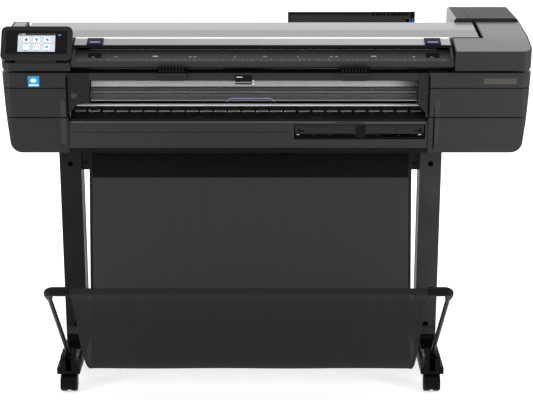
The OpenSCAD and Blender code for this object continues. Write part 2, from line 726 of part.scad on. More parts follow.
module leg(x) {
    difference() {
        box(x - leg_w / 2, x + leg_w / 2, leg_y, leg_y + leg_d, foot_top, plate_top - 5);
        box(x - leg_w / 2 + foot_wall, x + leg_w / 2 - foot_wall, leg_y + foot_wall,
            leg_y + leg_d - foot_wall, foot_top - cut, plate_top);
        rod_y(x, leg_y - cut, leg_y + 5, 7, bolt_z);
        rod_y(x, leg_y - cut, leg_y + 5, 7, foot_top + 45);
    }
    box(x - 40, x + 40, leg_y - 40, leg_y + leg_d + 60, plate_top - 5, plate_top);
}

module legs() color([0.17, 0.17, 0.18]) place() {
    leg(leg_l);
    leg(leg_r);
}

// Socket screws that hold the legs to the feet and to the crossbar, seated on the back walls.
module leg_bolts() color([0.08, 0.08, 0.08]) place()
    for (x = [leg_l, leg_r], z = [bolt_z, foot_top + 45]) difference() {
        rod_y(x, leg_y + 1, leg_y + leg_d - foot_wall, 6.5, z);
        rod_y(x, leg_y, leg_y + 6, 3, z);
    }

module crossbar() color([0.17, 0.17, 0.18]) place() difference() {
    box(leg_l + leg_w / 2, leg_r - leg_w / 2, 126, 164, 578, 652);
    box(leg_l + leg_w / 2 - cut, leg_r - leg_w / 2 + cut, 128.5, 165, 580.5, 649.5);
}

caster_y = [-56, 396];   // swivel axes, front and rear
caster_trail = 22;
stem_r = 5.5;

module foot(x) {
    difference() {
        hull() {
            box(x - foot_w / 2, x + foot_w / 2, foot_y + 4, foot_y + foot_len - 4, foot_z, foot_top - 5);
            box(x - foot_w / 2 + 4, x + foot_w / 2 - 4, foot_y, foot_y + foot_len, foot_z, foot_top - 6);
            box(x - foot_w / 2 + 4, x + foot_w / 2 - 4, foot_y + 5, foot_y + foot_len - 5, foot_z, foot_top);
        }
        box(x - foot_w / 2 + foot_wall + 1, x + foot_w / 2 - foot_wall - 1, caster_y[0] + 24,
            caster_y[1] - 24, foot_z - cut, foot_top - wall);
        for (y = caster_y)
            translate([x, y, foot_z - cut]) cylinder(h = 21, r = stem_r + fit);
        box(x - 3, x + 3, foot_y - cut, foot_y + 6, foot_z + 10, foot_top + 1);
    }
    difference() {
        box(x - 20, x + 20, -86, -34, foot_top, arm_at[1] + 12);
        box(x - 7.5, x + 7.5, -90, -46, foot_top + 8, arm_at[1] + 20);
        rod_x(x - 22, x + 22, 4, arm_at[0], arm_at[1]);
    }
    rod_x(x - 20, x + 20, 4, arm_at[0], arm_at[1]);
}

module foot_left() color([0.15, 0.15, 0.15]) place() foot(leg_l);

module foot_right() color([0.15, 0.15, 0.15]) place() foot(leg_r);

wheel_gap = 5;           // half the space between the twin wheels
wheel_w = 17;
hood_r = caster_dia / 2 + 2.3;

module fork(x, y) {
    axle = [y - caster_trail, caster_dia / 2];
    translate([x, y, foot_z - 2.4]) cylinder(h = 2, r = 19);
    translate([x, y, foot_z - 1]) cylinder(h = 20, r = stem_r);
    difference() {
        along_x(x - wheel_gap + 1, x + wheel_gap - 1) polygon([[axle[0] - 8, axle[1] - 6],
            [axle[0] + 8, axle[1] - 6], [y + 16, foot_z - 8], [y + 16, foot_z - 2],
            [y - 24, foot_z - 2], [axle[0] - 16, foot_z - 10]]);
        rod_x(x - 10, x + 10, 3 + fit, axle[0], axle[1]);
    }
    // The hood over the front and top of both wheels.
    difference() {
        rod_x(x - wheel_gap - wheel_w - 0.5, x + wheel_gap + wheel_w + 0.5, hood_r, axle[0], axle[1]);
        rod_x(x - 40, x + 40, hood_r - 1.6, axle[0], axle[1]);
        box(x - 40, x + 40, axle[0] - 40, axle[0] + 40, -1, axle[1] - 14);
        box(x - 40, x + 40, axle[0] - 4, axle[0] + 40, -1, axle[1] + 16);
    }
}

module wheels(x, y) {
    axle = [y - caster_trail, caster_dia / 2];
    rod_x(x - wheel_gap, x + wheel_gap, 3, axle[0], axle[1]);
    for (side = [-1, 1])
        translate([x + side * (wheel_gap + wheel_w / 2), axle[0], axle[1]]) rotate([0, side * 90, 0])
            rotate_extrude($fn = 64) polygon([[0, -wheel_w / 2], [caster_dia / 2 - 2, -wheel_w / 2],
                [caster_dia / 2, -wheel_w / 2 + 3], [caster_dia / 2, wheel_w / 2 - 3],
                [caster_dia / 2 - 2, wheel_w / 2], [14, wheel_w / 2], [13, wheel_w / 2 - 1.5],
                [0, wheel_w / 2 - 1.5]]);
}

caster_color = [0.09, 0.09, 0.095];
module fork_front_left() color(caster_color) place() fork(leg_l, caster_y[0]);
module fork_front_right() color(caster_color) place() fork(leg_r, caster_y[0]);
module fork_rear_left() color(caster_color) place() fork(leg_l, caster_y[1]);
module fork_rear_right() color(caster_color) place() fork(leg_r, caster_y[1]);
module wheels_front_left() color(caster_color) place() wheels(leg_l, caster_y[0]);
module wheels_front_right() color(caster_color) place() wheels(leg_r, caster_y[0]);
module wheels_rear_left() color(caster_color) place() wheels(leg_l, caster_y[1]);
module wheels_rear_right() color(caster_color) place() wheels(leg_r, caster_y[1]);

// ---- sheet bin ----

bar_at = [-400.5, 412];  // front bar, as [y, z]
elbow_r = 12;
bar_dia = 15;
arm_rise = atan2(bar_at[1] - arm_at[1], arm_at[0] - bar_at[0]);
arm_len = norm(bar_at - arm_at);
arm_hub = [13.4, 9];     // width and radius of the arm's pivot eye
sleeve = [44, 9.5];      // length and radius of the arm's end sleeve

module arm(x, side) {
    translate([x, arm_at[0], arm_at[1]]) rotate([-arm_rise, 0, 0]) {
        difference() {
            union() {
                rod_x(-arm_hub[0] / 2, arm_hub[0] / 2, arm_hub[1], 0, 0);
                rotate([90, 0, 0]) translate([0, 0, 6]) cylinder(h = arm_len - sleeve[0], r = arm_dia / 2);
                rotate([90, 0, 0]) translate([0, 0, arm_len - sleeve[0] - 2])
                    cylinder(h = sleeve[0], r = sleeve[1]);
            }
            rod_x(-8, 8, 4 + fit, 0, 0);
        }
    }
    difference() {
        rod_x(min(x - side * 12, x + side * 53), max(x - side * 12, x + side * 53), elbow_r,
            bar_at[0], bar_at[1]);
        rod_x(min(x + side * 14, x + side * 54), max(x + side * 14, x + side * 54), bar_dia / 2 + fit,
            bar_at[0], bar_at[1]);
    }
}

module bin_arms() color([0.1, 0.1, 0.1]) place() {
    arm(leg_l, 1);
    arm(leg_r, -1);
}

module bin_bar() color([0.13, 0.13, 0.13]) place() difference() {
    rod_x(leg_l + 15, leg_r - 15, bar_dia / 2, bar_at[0], bar_at[1]);
    rod_x(leg_l, leg_r, bar_dia / 2 - 1.5, bar_at[0], bar_at[1]);
}

fabric_x0 = path_x - fabric_w / 2;
fabric_x1 = path_x + fabric_w / 2;
rear_top = [122, 640];
rear_low = [-20, 50];
front_path = [bar_at + [9, -11], [-352, 368], [-308, 318], [-255, 240], [-203, 174], [-160, 127],
    [-123, 95], [-84, 71], [-38, 51]];

// A sheet of fabric hung along points of the Y-Z plane.
function beside(path, i) = let (last = len(path) - 1,
    run = path[min(i + 1, last)] - path[max(i - 1, 0)]) [-run[1], run[0]] / norm(run) * fabric_t / 2;

module hung(path) along_x(fabric_x0, fabric_x1) polygon(concat(
    [for (i = [0:len(path) - 1]) path[i] + beside(path, i)],
    [for (i = [len(path) - 1:-1:0]) path[i] - beside(path, i)]));

module fabric_rear() color([0.16, 0.16, 0.16]) place() hung([rear_top, rear_low]);

module fabric_front() color([0.16, 0.16, 0.16]) place() hung(front_path);

base_tray();
side_plates();
left_lower_cover();
left_upper_cover();
ink_door();
right_lower_cover();
right_upper_cover();
front_cover();
sheet_tray();
window_frame();
window_pane();
rear_top_cover();
roll_cover();
platen();
carriage_rail();
carriage();
carriage_belt();
drive_pulley();
idler_pulley();
drive_motors();
feed_roller();
pinch_rollers();
output_rollers();
roll_spindle();
ink_cartridges();
service_station();
mainboard();
power_inlet();
scanner_base();
scanner_glass();
image_sensors();
scanner_roller();
scanner_lid();
latch_left();
latch_right();
deflector_left();
deflector_right();
left_end_cap();
right_end_cap();
rear_box();
control_panel();
rear_tray();
sheet_guide();
legs();
crossbar();
foot_left();
foot_right();
leg_bolts();
bin_arms();
bin_bar();
fabric_rear();
fabric_front();
fork_front_left();
fork_front_right();
fork_rear_left();
fork_rear_right();
wheels_front_left();
wheels_front_right();
wheels_rear_left();
wheels_rear_right();
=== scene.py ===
"""Large format plotter with a scanner, on a wheeled stand with a fabric sheet bin.

Every size is in millimetres in the printer body's own frame, whose front face lies at Y = 0,
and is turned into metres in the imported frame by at().
"""
import json
from math import cos, pi, radians, sin
import bmesh
import bpy
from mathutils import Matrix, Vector


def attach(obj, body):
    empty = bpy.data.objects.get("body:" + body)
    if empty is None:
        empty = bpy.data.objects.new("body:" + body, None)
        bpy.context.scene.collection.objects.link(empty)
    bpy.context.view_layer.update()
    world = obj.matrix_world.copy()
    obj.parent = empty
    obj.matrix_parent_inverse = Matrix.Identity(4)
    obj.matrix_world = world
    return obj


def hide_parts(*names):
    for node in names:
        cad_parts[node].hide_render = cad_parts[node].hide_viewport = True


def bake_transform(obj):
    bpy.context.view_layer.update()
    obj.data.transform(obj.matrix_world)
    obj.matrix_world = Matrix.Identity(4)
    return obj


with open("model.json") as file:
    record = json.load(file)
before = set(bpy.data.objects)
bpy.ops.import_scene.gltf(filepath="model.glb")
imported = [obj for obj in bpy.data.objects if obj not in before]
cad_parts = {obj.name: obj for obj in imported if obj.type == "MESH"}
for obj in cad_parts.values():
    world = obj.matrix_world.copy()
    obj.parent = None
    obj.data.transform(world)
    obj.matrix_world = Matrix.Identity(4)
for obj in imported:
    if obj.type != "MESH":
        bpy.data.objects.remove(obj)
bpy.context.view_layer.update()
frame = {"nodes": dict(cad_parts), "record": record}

MM = 0.001
FRONT = -32.5            # the body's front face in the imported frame, in mm
RIGHT = (1, 0, 0)
BAY = (-530, 433)        # the opening between the side modules, left and right, in mm
MOUTH = (-526, 429)      # what shows of the parts across the output mouth
PANE = (-470, 401)       # the clear window
FRAME_ENDS = (-472, 404)  # where the window frame's darker ends begin


def around(count):
    """Evenly spaced angles of a full turn."""
    return [2 * pi * i / count for i in range(count)]


def placed(name, data):
    """A new object in the scene."""
    made = bpy.data.objects.new(name, data)
    bpy.context.scene.collection.objects.link(made)
    return made


def at(x, y, z):
    """A point of the body's frame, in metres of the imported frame."""
    return Vector((x * MM, (y + FRONT) * MM, z * MM))


# ---------------------------------------------------------------- materials

def rgb(color):
    """A colour as three numbers; a single number is a grey."""
    return color if isinstance(color, tuple) else (color,) * 3


def material(name, color, rough, metallic=0.0, **sockets):
    """A Principled material; sockets are set by their own names with spaces as underscores."""
    mat = bpy.data.materials.new(name)
    mat.use_nodes = True
    shader = mat.node_tree.nodes["Principled BSDF"]
    shader.inputs["Base Color"].default_value = (*rgb(color), 1.0)
    shader.inputs["Roughness"].default_value = rough
    shader.inputs["Metallic"].default_value = metallic
    for key, value in sockets.items():
        shader.inputs[key.replace("_", " ")].default_value = value
    return mat


class Graph:
    """Short names for building a material's nodes."""

    def __init__(self, mat):
        self.mat = mat
        self.tree = mat.node_tree
        self.shader = self.tree.nodes["Principled BSDF"]

    def node(self, kind, **settings):
        made = self.tree.nodes.new(kind)
        for key, value in settings.items():
            setattr(made, key, value)
        return made

    def link(self, out, into):
        self.tree.links.new(out, into)

    def coords(self, stretch=(1, 1, 1)):
        source = self.node("ShaderNodeTexCoord")
        mapping = self.node("ShaderNodeMapping")
        mapping.inputs["Scale"].default_value = stretch
        self.link(source.outputs["Object"], mapping.inputs["Vector"])
        return mapping.outputs["Vector"]

    def noise(self, scale, detail=2.0, vector=None, roughness=0.5):
        made = self.node("ShaderNodeTexNoise")
        made.inputs["Scale"].default_value = scale
        made.inputs["Detail"].default_value = detail
        made.inputs["Roughness"].default_value = roughness
        self.link(vector or self.coords(), made.inputs["Vector"])
        return made.outputs["Fac"]

    def spread(self, value, low, high):
        made = self.node("ShaderNodeMapRange")
        made.inputs["From Min"].default_value = 0.3
        made.inputs["From Max"].default_value = 0.7
        made.inputs["To Min"].default_value = low
        made.inputs["To Max"].default_value = high
        self.link(value, made.inputs["Value"])
        return made.outputs["Result"]

    def blend_color(self, value, dark, light):
        made = self.node("ShaderNodeMix", data_type="RGBA")
        made.inputs["A"].default_value = (*dark, 1)
        made.inputs["B"].default_value = (*light, 1)
        self.link(value, made.inputs["Factor"])
        return made.outputs["Result"]

    def math(self, operation, a, b):
        made = self.node("ShaderNodeMath", operation=operation)
        for socket, value in zip(made.inputs, (a, b)):
            if isinstance(value, (int, float)):
                socket.default_value = value
            else:
                self.link(value, socket)
        return made.outputs["Value"]

    def bump(self, height, distance, strength=1.0):
        made = self.node("ShaderNodeBump")
        made.inputs["Distance"].default_value = distance
        made.inputs["Strength"].default_value = strength
        self.link(height, made.inputs["Height"])
        self.link(made.outputs["Normal"], self.shader.inputs["Normal"])

    def color(self, value):
        self.link(value, self.shader.inputs["Base Color"])

    def rough(self, value):
        self.link(value, self.shader.inputs["Roughness"])


def shade(color, factor):
    return tuple(min(1.0, c * factor) for c in rgb(color))


def moulded(name, color, rough, gloss=0.16, grain=1400, depth=0.00006):
    """Injection-moulded plastic: fine spark texture, faint flow marks and handling shine."""
    mat = material(name, color, rough, Specular_IOR_Level=gloss)
    g = Graph(mat)
    fine = g.noise(grain, 3.0)
    flow = g.noise(3.5, 3.0)
    g.color(g.blend_color(g.spread(flow, 0.0, 1.0), shade(color, 0.93), shade(color, 1.07)))
    g.rough(g.math("ADD", g.spread(flow, rough - 0.035, rough + 0.035), g.spread(fine, -0.03, 0.03)))
    g.bump(fine, depth)
    return mat


def painted_silver(name, color, rough=0.3):
    """Silver paint with metal flake and a slight orange peel."""
    mat = material(name, color, rough, metallic=0.55, Coat_Weight=0.25, Coat_Roughness=0.18)
    g = Graph(mat)
    flake = g.noise(5200, 1.0)
    peel = g.noise(210, 2.0)
    g.color(g.blend_color(g.spread(flake, 0.0, 1.0), shade(color, 0.94), shade(color, 1.05)))
    g.rough(g.spread(g.noise(5.0, 1.0), rough - 0.012, rough + 0.012))
    g.bump(g.math("ADD", g.math("MULTIPLY", flake, 0.15), peel), 0.000012)
    return mat


def brushed(name, color, rough=0.3, along=(1, 60, 60), metallic=1.0):
    """Rolled or extruded metal with fine lines along X."""
    mat = material(name, color, rough, metallic=metallic)
    g = Graph(mat)
    lines = g.noise(46, 4.0, g.coords(along))
    g.color(g.blend_color(g.spread(lines, 0.0, 1.0), shade(color, 0.85), shade(color, 1.08)))
    g.rough(g.spread(lines, rough - 0.07, rough + 0.1))
    g.bump(lines, 0.00002)
    return mat


def painted_shade_ramp(mat, start, end, left, axis="X"):
    """Paints light and shade into a material: darkens its colour between two places along an axis, in metres.
    """
    g = Graph(mat)
    place = g.node("ShaderNodeSeparateXYZ")
    g.link(g.node("ShaderNodeTexCoord").outputs["Object"], place.inputs["Vector"])
    fade = g.node("ShaderNodeMapRange", interpolation_type="SMOOTHSTEP")
    for socket, value in (("From Min", start), ("From Max", end), ("To Min", 1.0), ("To Max", left)):
        fade.inputs[socket].default_value = value
    g.link(place.outputs[axis], fade.inputs["Value"])
    tone = g.node("ShaderNodeVectorMath", operation="SCALE")
    g.link(g.shader.inputs["Base Color"].links[0].from_socket, tone.inputs["Vector"])
    g.link(fade.outputs["Result"], tone.inputs["Scale"])
    g.color(tone.outputs["Vector"])
    return mat


def powder_coat(name, color, rough=0.5):
    """Black powder coat: pebbled skin with a few dull rubs."""
    mat = material(name, color, rough, Specular_IOR_Level=0.06)
    g = Graph(mat)
    pebble = g.node("ShaderNodeTexVoronoi", feature="SMOOTH_F1")
    pebble.inputs["Scale"].default_value = 620
    g.link(g.coords(), pebble.inputs["Vector"])
    rubs = g.noise(9.0, 4.0)
    g.color(g.blend_color(g.spread(rubs, 0.0, 1.0), shade(color, 0.85), shade(color, 1.2)))
    g.rough(g.spread(rubs, rough - 0.06, rough + 0.08))
    g.bump(pebble.outputs["Distance"], 0.00009)
    return mat


def woven(name, color, pitch=0.0011, rough=0.85, alpha=1.0):
    """Plain-weave polyester, open enough to see a little through: warp, weft and slubs."""
    mat = material(name, color, rough, Specular_IOR_Level=0.06, Alpha=alpha)
    g = Graph(mat)
    uv = g.node("ShaderNodeUVMap", uv_map="cloth")
    waves = []
    for direction in ("X", "Y"):
        wave = g.node("ShaderNodeTexWave", bands_direction=direction)
        wave.inputs["Scale"].default_value = 2 * pi / (20 * pitch) * 1.0
        wave.inputs["Distortion"].default_value = 0.35
        wave.inputs["Detail Scale"].default_value = 3.0
        g.link(uv.outputs["UV"], wave.inputs["Vector"])
        waves.append(wave.outputs["Fac"])
    stretch = g.node("ShaderNodeMapping")
    stretch.inputs["Scale"].default_value = (260, 3.2, 1)
    g.link(uv.outputs["UV"], stretch.inputs["Vector"])
    slubs = g.noise(1.0, 3.0, stretch.outputs["Vector"])
    weave = g.math("MAXIMUM", waves[0], g.math("MULTIPLY", waves[1], 0.9))
    tone = g.math("ADD", g.math("MULTIPLY", weave, 0.35), g.spread(slubs, 0.0, 0.65))
    g.color(g.blend_color(tone, shade(color, 0.72), shade(color, 1.25)))
    g.bump(weave, 0.00025, 0.7)
    return mat


def glassy(name, color, alpha, rough=0.06):
    """Clear sheet seen through: tinted, with faint dust in its gloss."""
    mat = material(name, color, rough, Alpha=alpha, IOR=1.49, Specular_IOR_Level=0.3)
    g = Graph(mat)
    g.rough(g.spread(g.noise(40, 4.0), rough, rough + 0.05))
    return mat


def glowing(name, low, high, strength):
    """A lit display area whose colour drifts a little over its face."""
    mat = material(name, low, 0.25)
    g = Graph(mat)
    drift = g.spread(g.noise(14, 2.0), 0.0, 1.0)
    tone = g.blend_color(drift, low, high)
    g.color(tone)
    g.link(tone, g.shader.inputs["Emission Color"])
    g.shader.inputs["Emission Strength"].default_value = strength
    return mat


PLASTICS = {
    "body": ("body_grey", 0.0175, 0.4),
    "warm": ("body_warm", (0.0122, 0.0119, 0.0109), 0.4),
    "bed": ("scanner_bed", (0.038, 0.038, 0.039), 0.36),
    "lip": ("scanner_lip", (0.0165, 0.0165, 0.0167), 0.4),
    "dark": ("dark_plastic", (0.0045, 0.0045, 0.0047), 0.4, 0.09),
    "black": ("black_plastic", (0.003, 0.003, 0.0031), 0.38, 0.07),
    "tray": ("tray_plastic", (0.0175, 0.0175, 0.0177), 0.4, 0.1),
    "rearbox": ("rear_box_grey", 0.0125, 0.42),
    "frame": ("window_frame_grey", (0.0125, 0.0125, 0.0127), 0.36),
    # the knurl's ridges are painted lighter than the cover: a painted highlight
    "knurl": ("knurled_edge", 0.09, 0.4),
    "trim_dark": ("trim_strip", (0.024, 0.024, 0.0233), 0.4),
    "tray_face": ("tray_face", 0.011, 0.36),
    # light grey for thin lines in the window: painted highlights
    "window_line": ("window_line", (0.3, 0.3, 0.305), 0.4),
    "frame_mid": ("window_frame_end", (0.0075, 0.0075, 0.0077), 0.4),
    "deflector": ("deflector_shield", (0.0085, 0.0085, 0.0087), 0.4),
    "frame_dark": ("window_frame_dark", (0.0042, 0.0042, 0.0044), 0.4),
    # much lighter than the rear box grey, for its left-facing side: painted light
    "rearbox_side": ("rear_box_side", 0.3, 0.4),
    "plain_dark": ("cap_rim", 0.008, 0.36),
    "bed_gloss": ("bed_landing", (0.008, 0.0085, 0.012), 0.22),
    "panel_case": ("panel_case", 0.0092, 0.4),
    "caster": ("caster_nylon", (0.002, 0.002, 0.0022), 0.4, 0.06),
    "blue": ("blue_plastic", (0.01, 0.2, 0.7), 0.35),
    "board": ("solder_mask", (0.01, 0.1, 0.045), 0.35),
    "lavender": ("lavender_mark", (0.24, 0.25, 0.5), 0.4),
    "ink": ("ruler_ink", (0.5, 0.5, 0.52), 0.5),
    "ink_dim": ("ruler_ink_dim", (0.2, 0.2, 0.21), 0.5),
    "plate": ("name_plate", (0.05, 0.046, 0.038), 0.3),
    "sticker": ("blue_sticker", (0.005, 0.22, 0.52), 0.35),
    "paper_white": ("white_print", (0.7, 0.73, 0.75), 0.5),
    # near-black: mostly painted shade in gaps, grooves, screw holes and under the scanner lid, and the
    # deflectors' root plates
    "void": ("dark_gap", 0.001, 0.8, 0.03),
}
M = {key: moulded(*look) for key, look in PLASTICS.items()}
M.update({
    "silver": painted_silver("silver_paint", 0.225),
    "white_metal": brushed("output_edge", 0.8, 0.3, metallic=0.15),
    # the beam metal darkens towards its right end: painted shade
    "beam": painted_shade_ramp(brushed("beam_metal", 0.36, 0.36, metallic=0.6), 0.325, 0.405, 0.06),
    # these greys darken towards the right end of the window: painted shade
    "window_grey": painted_shade_ramp(moulded("window_shade", (0.034, 0.034, 0.0345), 0.45), 0.34, 0.41, 0.4),
    "window_band": painted_shade_ramp(moulded("window_band", (0.05, 0.05, 0.051), 0.45), 0.34, 0.41, 0.35),
    # a darker copy of the silver paint for the left cap's steeper front: painted shade
    "silver_front": painted_silver("silver_paint_front_painted_shade", 0.185),
    # the lid's silver darkens towards its front: painted shade
    "silver_lid": painted_shade_ramp(painted_silver("silver_paint_lid", 0.335), 0.1515, 0.1255, 0.6, "Y"),
    # the lid's front slope silver darkens towards the left: painted light and shade across it
    "silver_slope": painted_shade_ramp(painted_silver("silver_paint_slope", 0.34), 0.45, -0.5, 0.72),
    "silver_cap": painted_silver("silver_paint_cap", 0.148),
    # near-white silver for the lid's crease rib: a painted highlight
    "highlight": painted_silver("silver_crease_painted_highlight", 0.85),
    "screen_bar": glowing("screen_bar", (0.006, 0.004, 0.004), (0.03, 0.009, 0.005), 0.02),
    "rail": brushed("rail_metal", (0.62, 0.63, 0.64), 0.32),
    "steel": brushed("zinc_steel", (0.25, 0.255, 0.26), 0.38),
    "rubber": moulded("rubber", 0.012, 0.62, grain=2200),
    "roller": brushed("output_roller", 0.17, 0.4, metallic=0.2),
    "stand": powder_coat("stand_black", (0.0095, 0.0095, 0.0098), 0.42),
    # a lighter copy of the stand's black for the right leg: painted light
    "stand_right": powder_coat("stand_black_painted_light_right", (0.028, 0.028, 0.0284), 0.42),
    "bin": powder_coat("bin_black", (0.0035, 0.0035, 0.0036), 0.35),
    "fabric": woven("bin_fabric", (0.0122, 0.0122, 0.012), alpha=0.984),
    # a darker weave for the band at the sheet's top: painted shadow of the machine above
    "hem_top_shadow": woven("bin_top_hem_painted_shadow", (0.0048, 0.0048, 0.0046)),
    "hem": woven("bin_hem", (0.0125, 0.0125, 0.0123)),
    "foot": powder_coat("foot_black", (0.0018, 0.0018, 0.0019), 0.45),
    # a lighter black for a strip on each foot bracket: a painted highlight
    "foot_lit": powder_coat("foot_bracket_painted_highlight", 0.024, 0.4),
    # light grey for the strip down each leg's edge: a painted highlight
    "leg_edge": powder_coat("leg_edge", 0.16, 0.3),
    "tread": moulded("caster_tread", 0.008, 0.5, grain=800),
    "window": glassy("window_clear", (0.05, 0.052, 0.055), 0.08),
    "glass": glassy("scan_glass", (0.5, 0.55, 0.56), 0.35, 0.03),
    "panel_glass": moulded("panel_glass", (0.0015, 0.0015, 0.0017), 0.08, 0.12, depth=0.000002),
    "screen": glowing("screen_lit", (0.36, 0.39, 0.45), (0.44, 0.47, 0.53), 0.13),
    "tile": glowing("screen_tile", (0.72, 0.73, 0.78), (0.8, 0.81, 0.88), 0.2),
    "glyph": glowing("screen_glyph", (0.02, 0.03, 0.06), (0.04, 0.06, 0.09), 0.05),
    "glyph_blue": glowing("screen_glyph_blue", (0.02, 0.2, 0.55), (0.04, 0.3, 0.7), 0.2),
    "glyph_green": glowing("screen_glyph_green", (0.03, 0.3, 0.13), (0.08, 0.42, 0.2), 0.2),
})

# ---------------------------------------------------------------- geometry helpers

slot_of = {s["node"]: s["material_slot"] for s in frame["record"]["subparts"]}
body_of = {n: b for b, members in frame["record"]["behaviour"]["bodies"].items() for n in members}


def paint(mesh, mats):
    """Gives the mesh the named materials, in order."""
    for key in mats.split():
        mesh.materials.append(M[key])


def clean(mesh):
    """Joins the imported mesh's split corners and dissolves its flat triangles."""
    for name in ("custom_normal", "sharp_face", "sharp_edge"):
        if name in mesh.attributes:
            mesh.attributes.remove(mesh.attributes[name])
    bm = bmesh.new()
    bm.from_mesh(mesh)
    bmesh.ops.remove_doubles(bm, verts=bm.verts, dist=2e-6)
    bmesh.ops.dissolve_limit(bm, angle_limit=radians(1.0), verts=bm.verts, edges=bm.edges)
    bm.to_mesh(mesh)
    bm.free()


def finish_mesh(piece, bevel, segments, limit, smooth=35):
    """Shades the piece smooth up to an angle and rounds its edges by bevel mm."""
    mesh = piece.data
    mesh.shade_smooth()
    mesh.set_sharp_from_angle(angle=radians(smooth))
    if bevel:
        mod = piece.modifiers.new("edge", "BEVEL")
        mod.width = bevel * MM
        mod.segments = segments
        mod.limit_method = "ANGLE"
        mod.angle_limit = radians(limit)
        mod.harden_normals = True
        mod.use_clamp_overlap = True


def softened(node, bevel, mats, pick=None, change=None, segments=2, limit=30):
    """The node's own shape with its edges rounded by bevel mm, standing for the node.
    pick(centre, normal) gives a face's place in mats; change(bm) may edit the mesh, in metres."""
    mesh = frame["nodes"][node].data.copy()
    mesh.name = node + "_skin"
    clean(mesh)
    mesh.materials.clear()
    for face in mesh.polygons:
        face.material_index = 0
    if change:
        bm = bmesh.new()
        bm.from_mesh(mesh)
        change(bm)
        bm.to_mesh(mesh)
        bm.free()
    paint(mesh, mats)
    if pick:
        for face in mesh.polygons:
            centre = face.center / MM
            centre.y -= FRONT
            face.material_index = pick(centre, face.normal)
    piece = placed(node + "_skin", mesh)
    finish_mesh(piece, bevel, segments, limit)
    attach(piece, body_of[node])
    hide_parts(node)


def rounded(x0, y0, x1, y1, r, steps=5):
    """A rectangle's outline with round corners; r is one radius or four from the lower left round."""
    radii = r if isinstance(r, (list, tuple)) else [r] * 4
    spots = [(x0, y0, 1, 1, 180), (x1, y0, -1, 1, 270), (x1, y1, -1, -1, 0), (x0, y1, 1, -1, 90)]
    points = []
    for radius, (cx, cy, sx, sy, a) in zip(radii, spots):
        if radius <= 0:
            points.append((cx, cy))
            continue
        for i in range(steps + 1):
            t = radians(a + 90 * i / steps)
            points.append((cx + sx * radius + radius * cos(t), cy + sy * radius + radius * sin(t)))
    return points


class Shape:
    """Solids gathered in mm of the body's frame and made into one piece; mats are names in M,
    and a solid's mat is a place in that list."""

    def __init__(self, name, body, mats, slot="black_plastic"):
        self.name, self.body, self.mats, self.slot = name, body, mats, slot
        self.bm = bmesh.new()

    def _close(self, rings, mat):
        """Skins the rings in order and caps both ends."""
        verts = [[self.bm.verts.new(p) for p in ring] for ring in rings]
        count = len(verts[0])
        faces = []
        for a, b in zip(verts, verts[1:]):
            for i in range(count):
                j = (i + 1) % count
                faces.append(self.bm.faces.new((a[i], a[j], b[j], b[i])))
        faces.append(self.bm.faces.new(list(reversed(verts[0]))))
        faces.append(self.bm.faces.new(verts[-1]))
        for face in faces:
            face.material_index = mat

    def prism(self, outline, origin, u, v, depth, mat=0):
        """The outline in the plane of u and v, extruded by depth along u x v."""
        origin, u, v = Vector(origin), Vector(u), Vector(v)
        w = u.cross(v) * depth
        base = [origin + u * a + v * b for a, b in outline]
        self._close([base, [p + w for p in base]], mat)
        return self

    def block(self, x0, x1, y0, y1, z0, z1, mat=0):
        return self.prism([(0, 0), (x1 - x0, 0), (x1 - x0, y1 - y0), (0, y1 - y0)], (x0, y0, z0),
                          RIGHT, (0, 1, 0), z1 - z0, mat)

    def along_x(self, x0, x1, section, mat=0):
        """A Y-Z section extruded along X."""
        return self.prism(section, (x0, 0, 0), (0, 1, 0), (0, 0, 1), x1 - x0, mat)

    def along_y(self, y0, y1, section, mat=0):
        """An X-Z section extruded along Y."""
        return self.prism(section, (0, y1, 0), RIGHT, (0, 0, 1), y1 - y0, mat)

    def lathe(self, profile, origin, axis, sides=32, mat=0):
        """Points (distance along axis, radius) turned round axis."""
        origin, axis = Vector(origin), Vector(axis).normalized()
        side = axis.orthogonal().normalized()
        other = axis.cross(side)
        self._close([[origin + axis * along + (side * cos(t) + other * sin(t)) * radius
                      for t in around(sides)] for along, radius in profile], mat)
        return self

    def tube(self, path, radius, sides=16, up=(0, 0, 1)):
        """A tube along a path; radius is one number or one for each point."""
        path = [Vector(p) for p in path]
        rings = []
        for i, p in enumerate(path):
            run = (path[min(i + 1, len(path) - 1)] - path[max(i - 1, 0)]).normalized()
            side = run.cross(Vector(up))
            side = side.normalized() if side.length > 1e-4 else run.orthogonal().normalized()
            other = side.cross(run)
            r = radius[i] if isinstance(radius, (list, tuple)) else radius
            rings.append([p + side * r * cos(t) + other * r * sin(t) for t in around(sides)])
        self._close(rings, 0)
        return self

    def done(self, bevel=0.0, segments=2, limit=30, smooth=35, replaces=()):
        bmesh.ops.recalc_face_normals(self.bm, faces=self.bm.faces)
        for vert in self.bm.verts:
            vert.co = at(*vert.co)
        mesh = bpy.data.meshes.new(self.name)
        self.bm.to_mesh(mesh)
        self.bm.free()
        paint(mesh, self.mats)
        piece = placed(self.name, mesh)
        finish_mesh(piece, bevel, segments, limit, smooth)
        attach(piece, self.body)
        if replaces:
            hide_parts(*replaces)


def turned(y, z, angle):
    """The directions along and above a plane that rises by angle towards the rear, and its start."""
    a = radians(angle)
    return Vector((0, y, z)), Vector((0, cos(a), sin(a))), Vector((0, -sin(a), cos(a)))

# ---------------------------------------------------------------- side modules and covers

def cut_through(bm, place, normal):
    """Adds edges where a plane crosses the mesh; place is in metres."""
    bmesh.ops.bisect_plane(bm, geom=bm.verts[:] + bm.edges[:] + bm.faces[:], dist=1e-6, plane_co=place,
                           plane_no=normal)


def groove(centre, normal):
    """Paints the modules' thin line and upright grooves near-black inside, as painted shade."""
    line = 837.9 < centre.z < 840
    upright = centre.y < 1.9 and (abs(centre.x + 547) < 1.2 or abs(centre.x - 450) < 1.2)
    return 1 if line or upright else 0


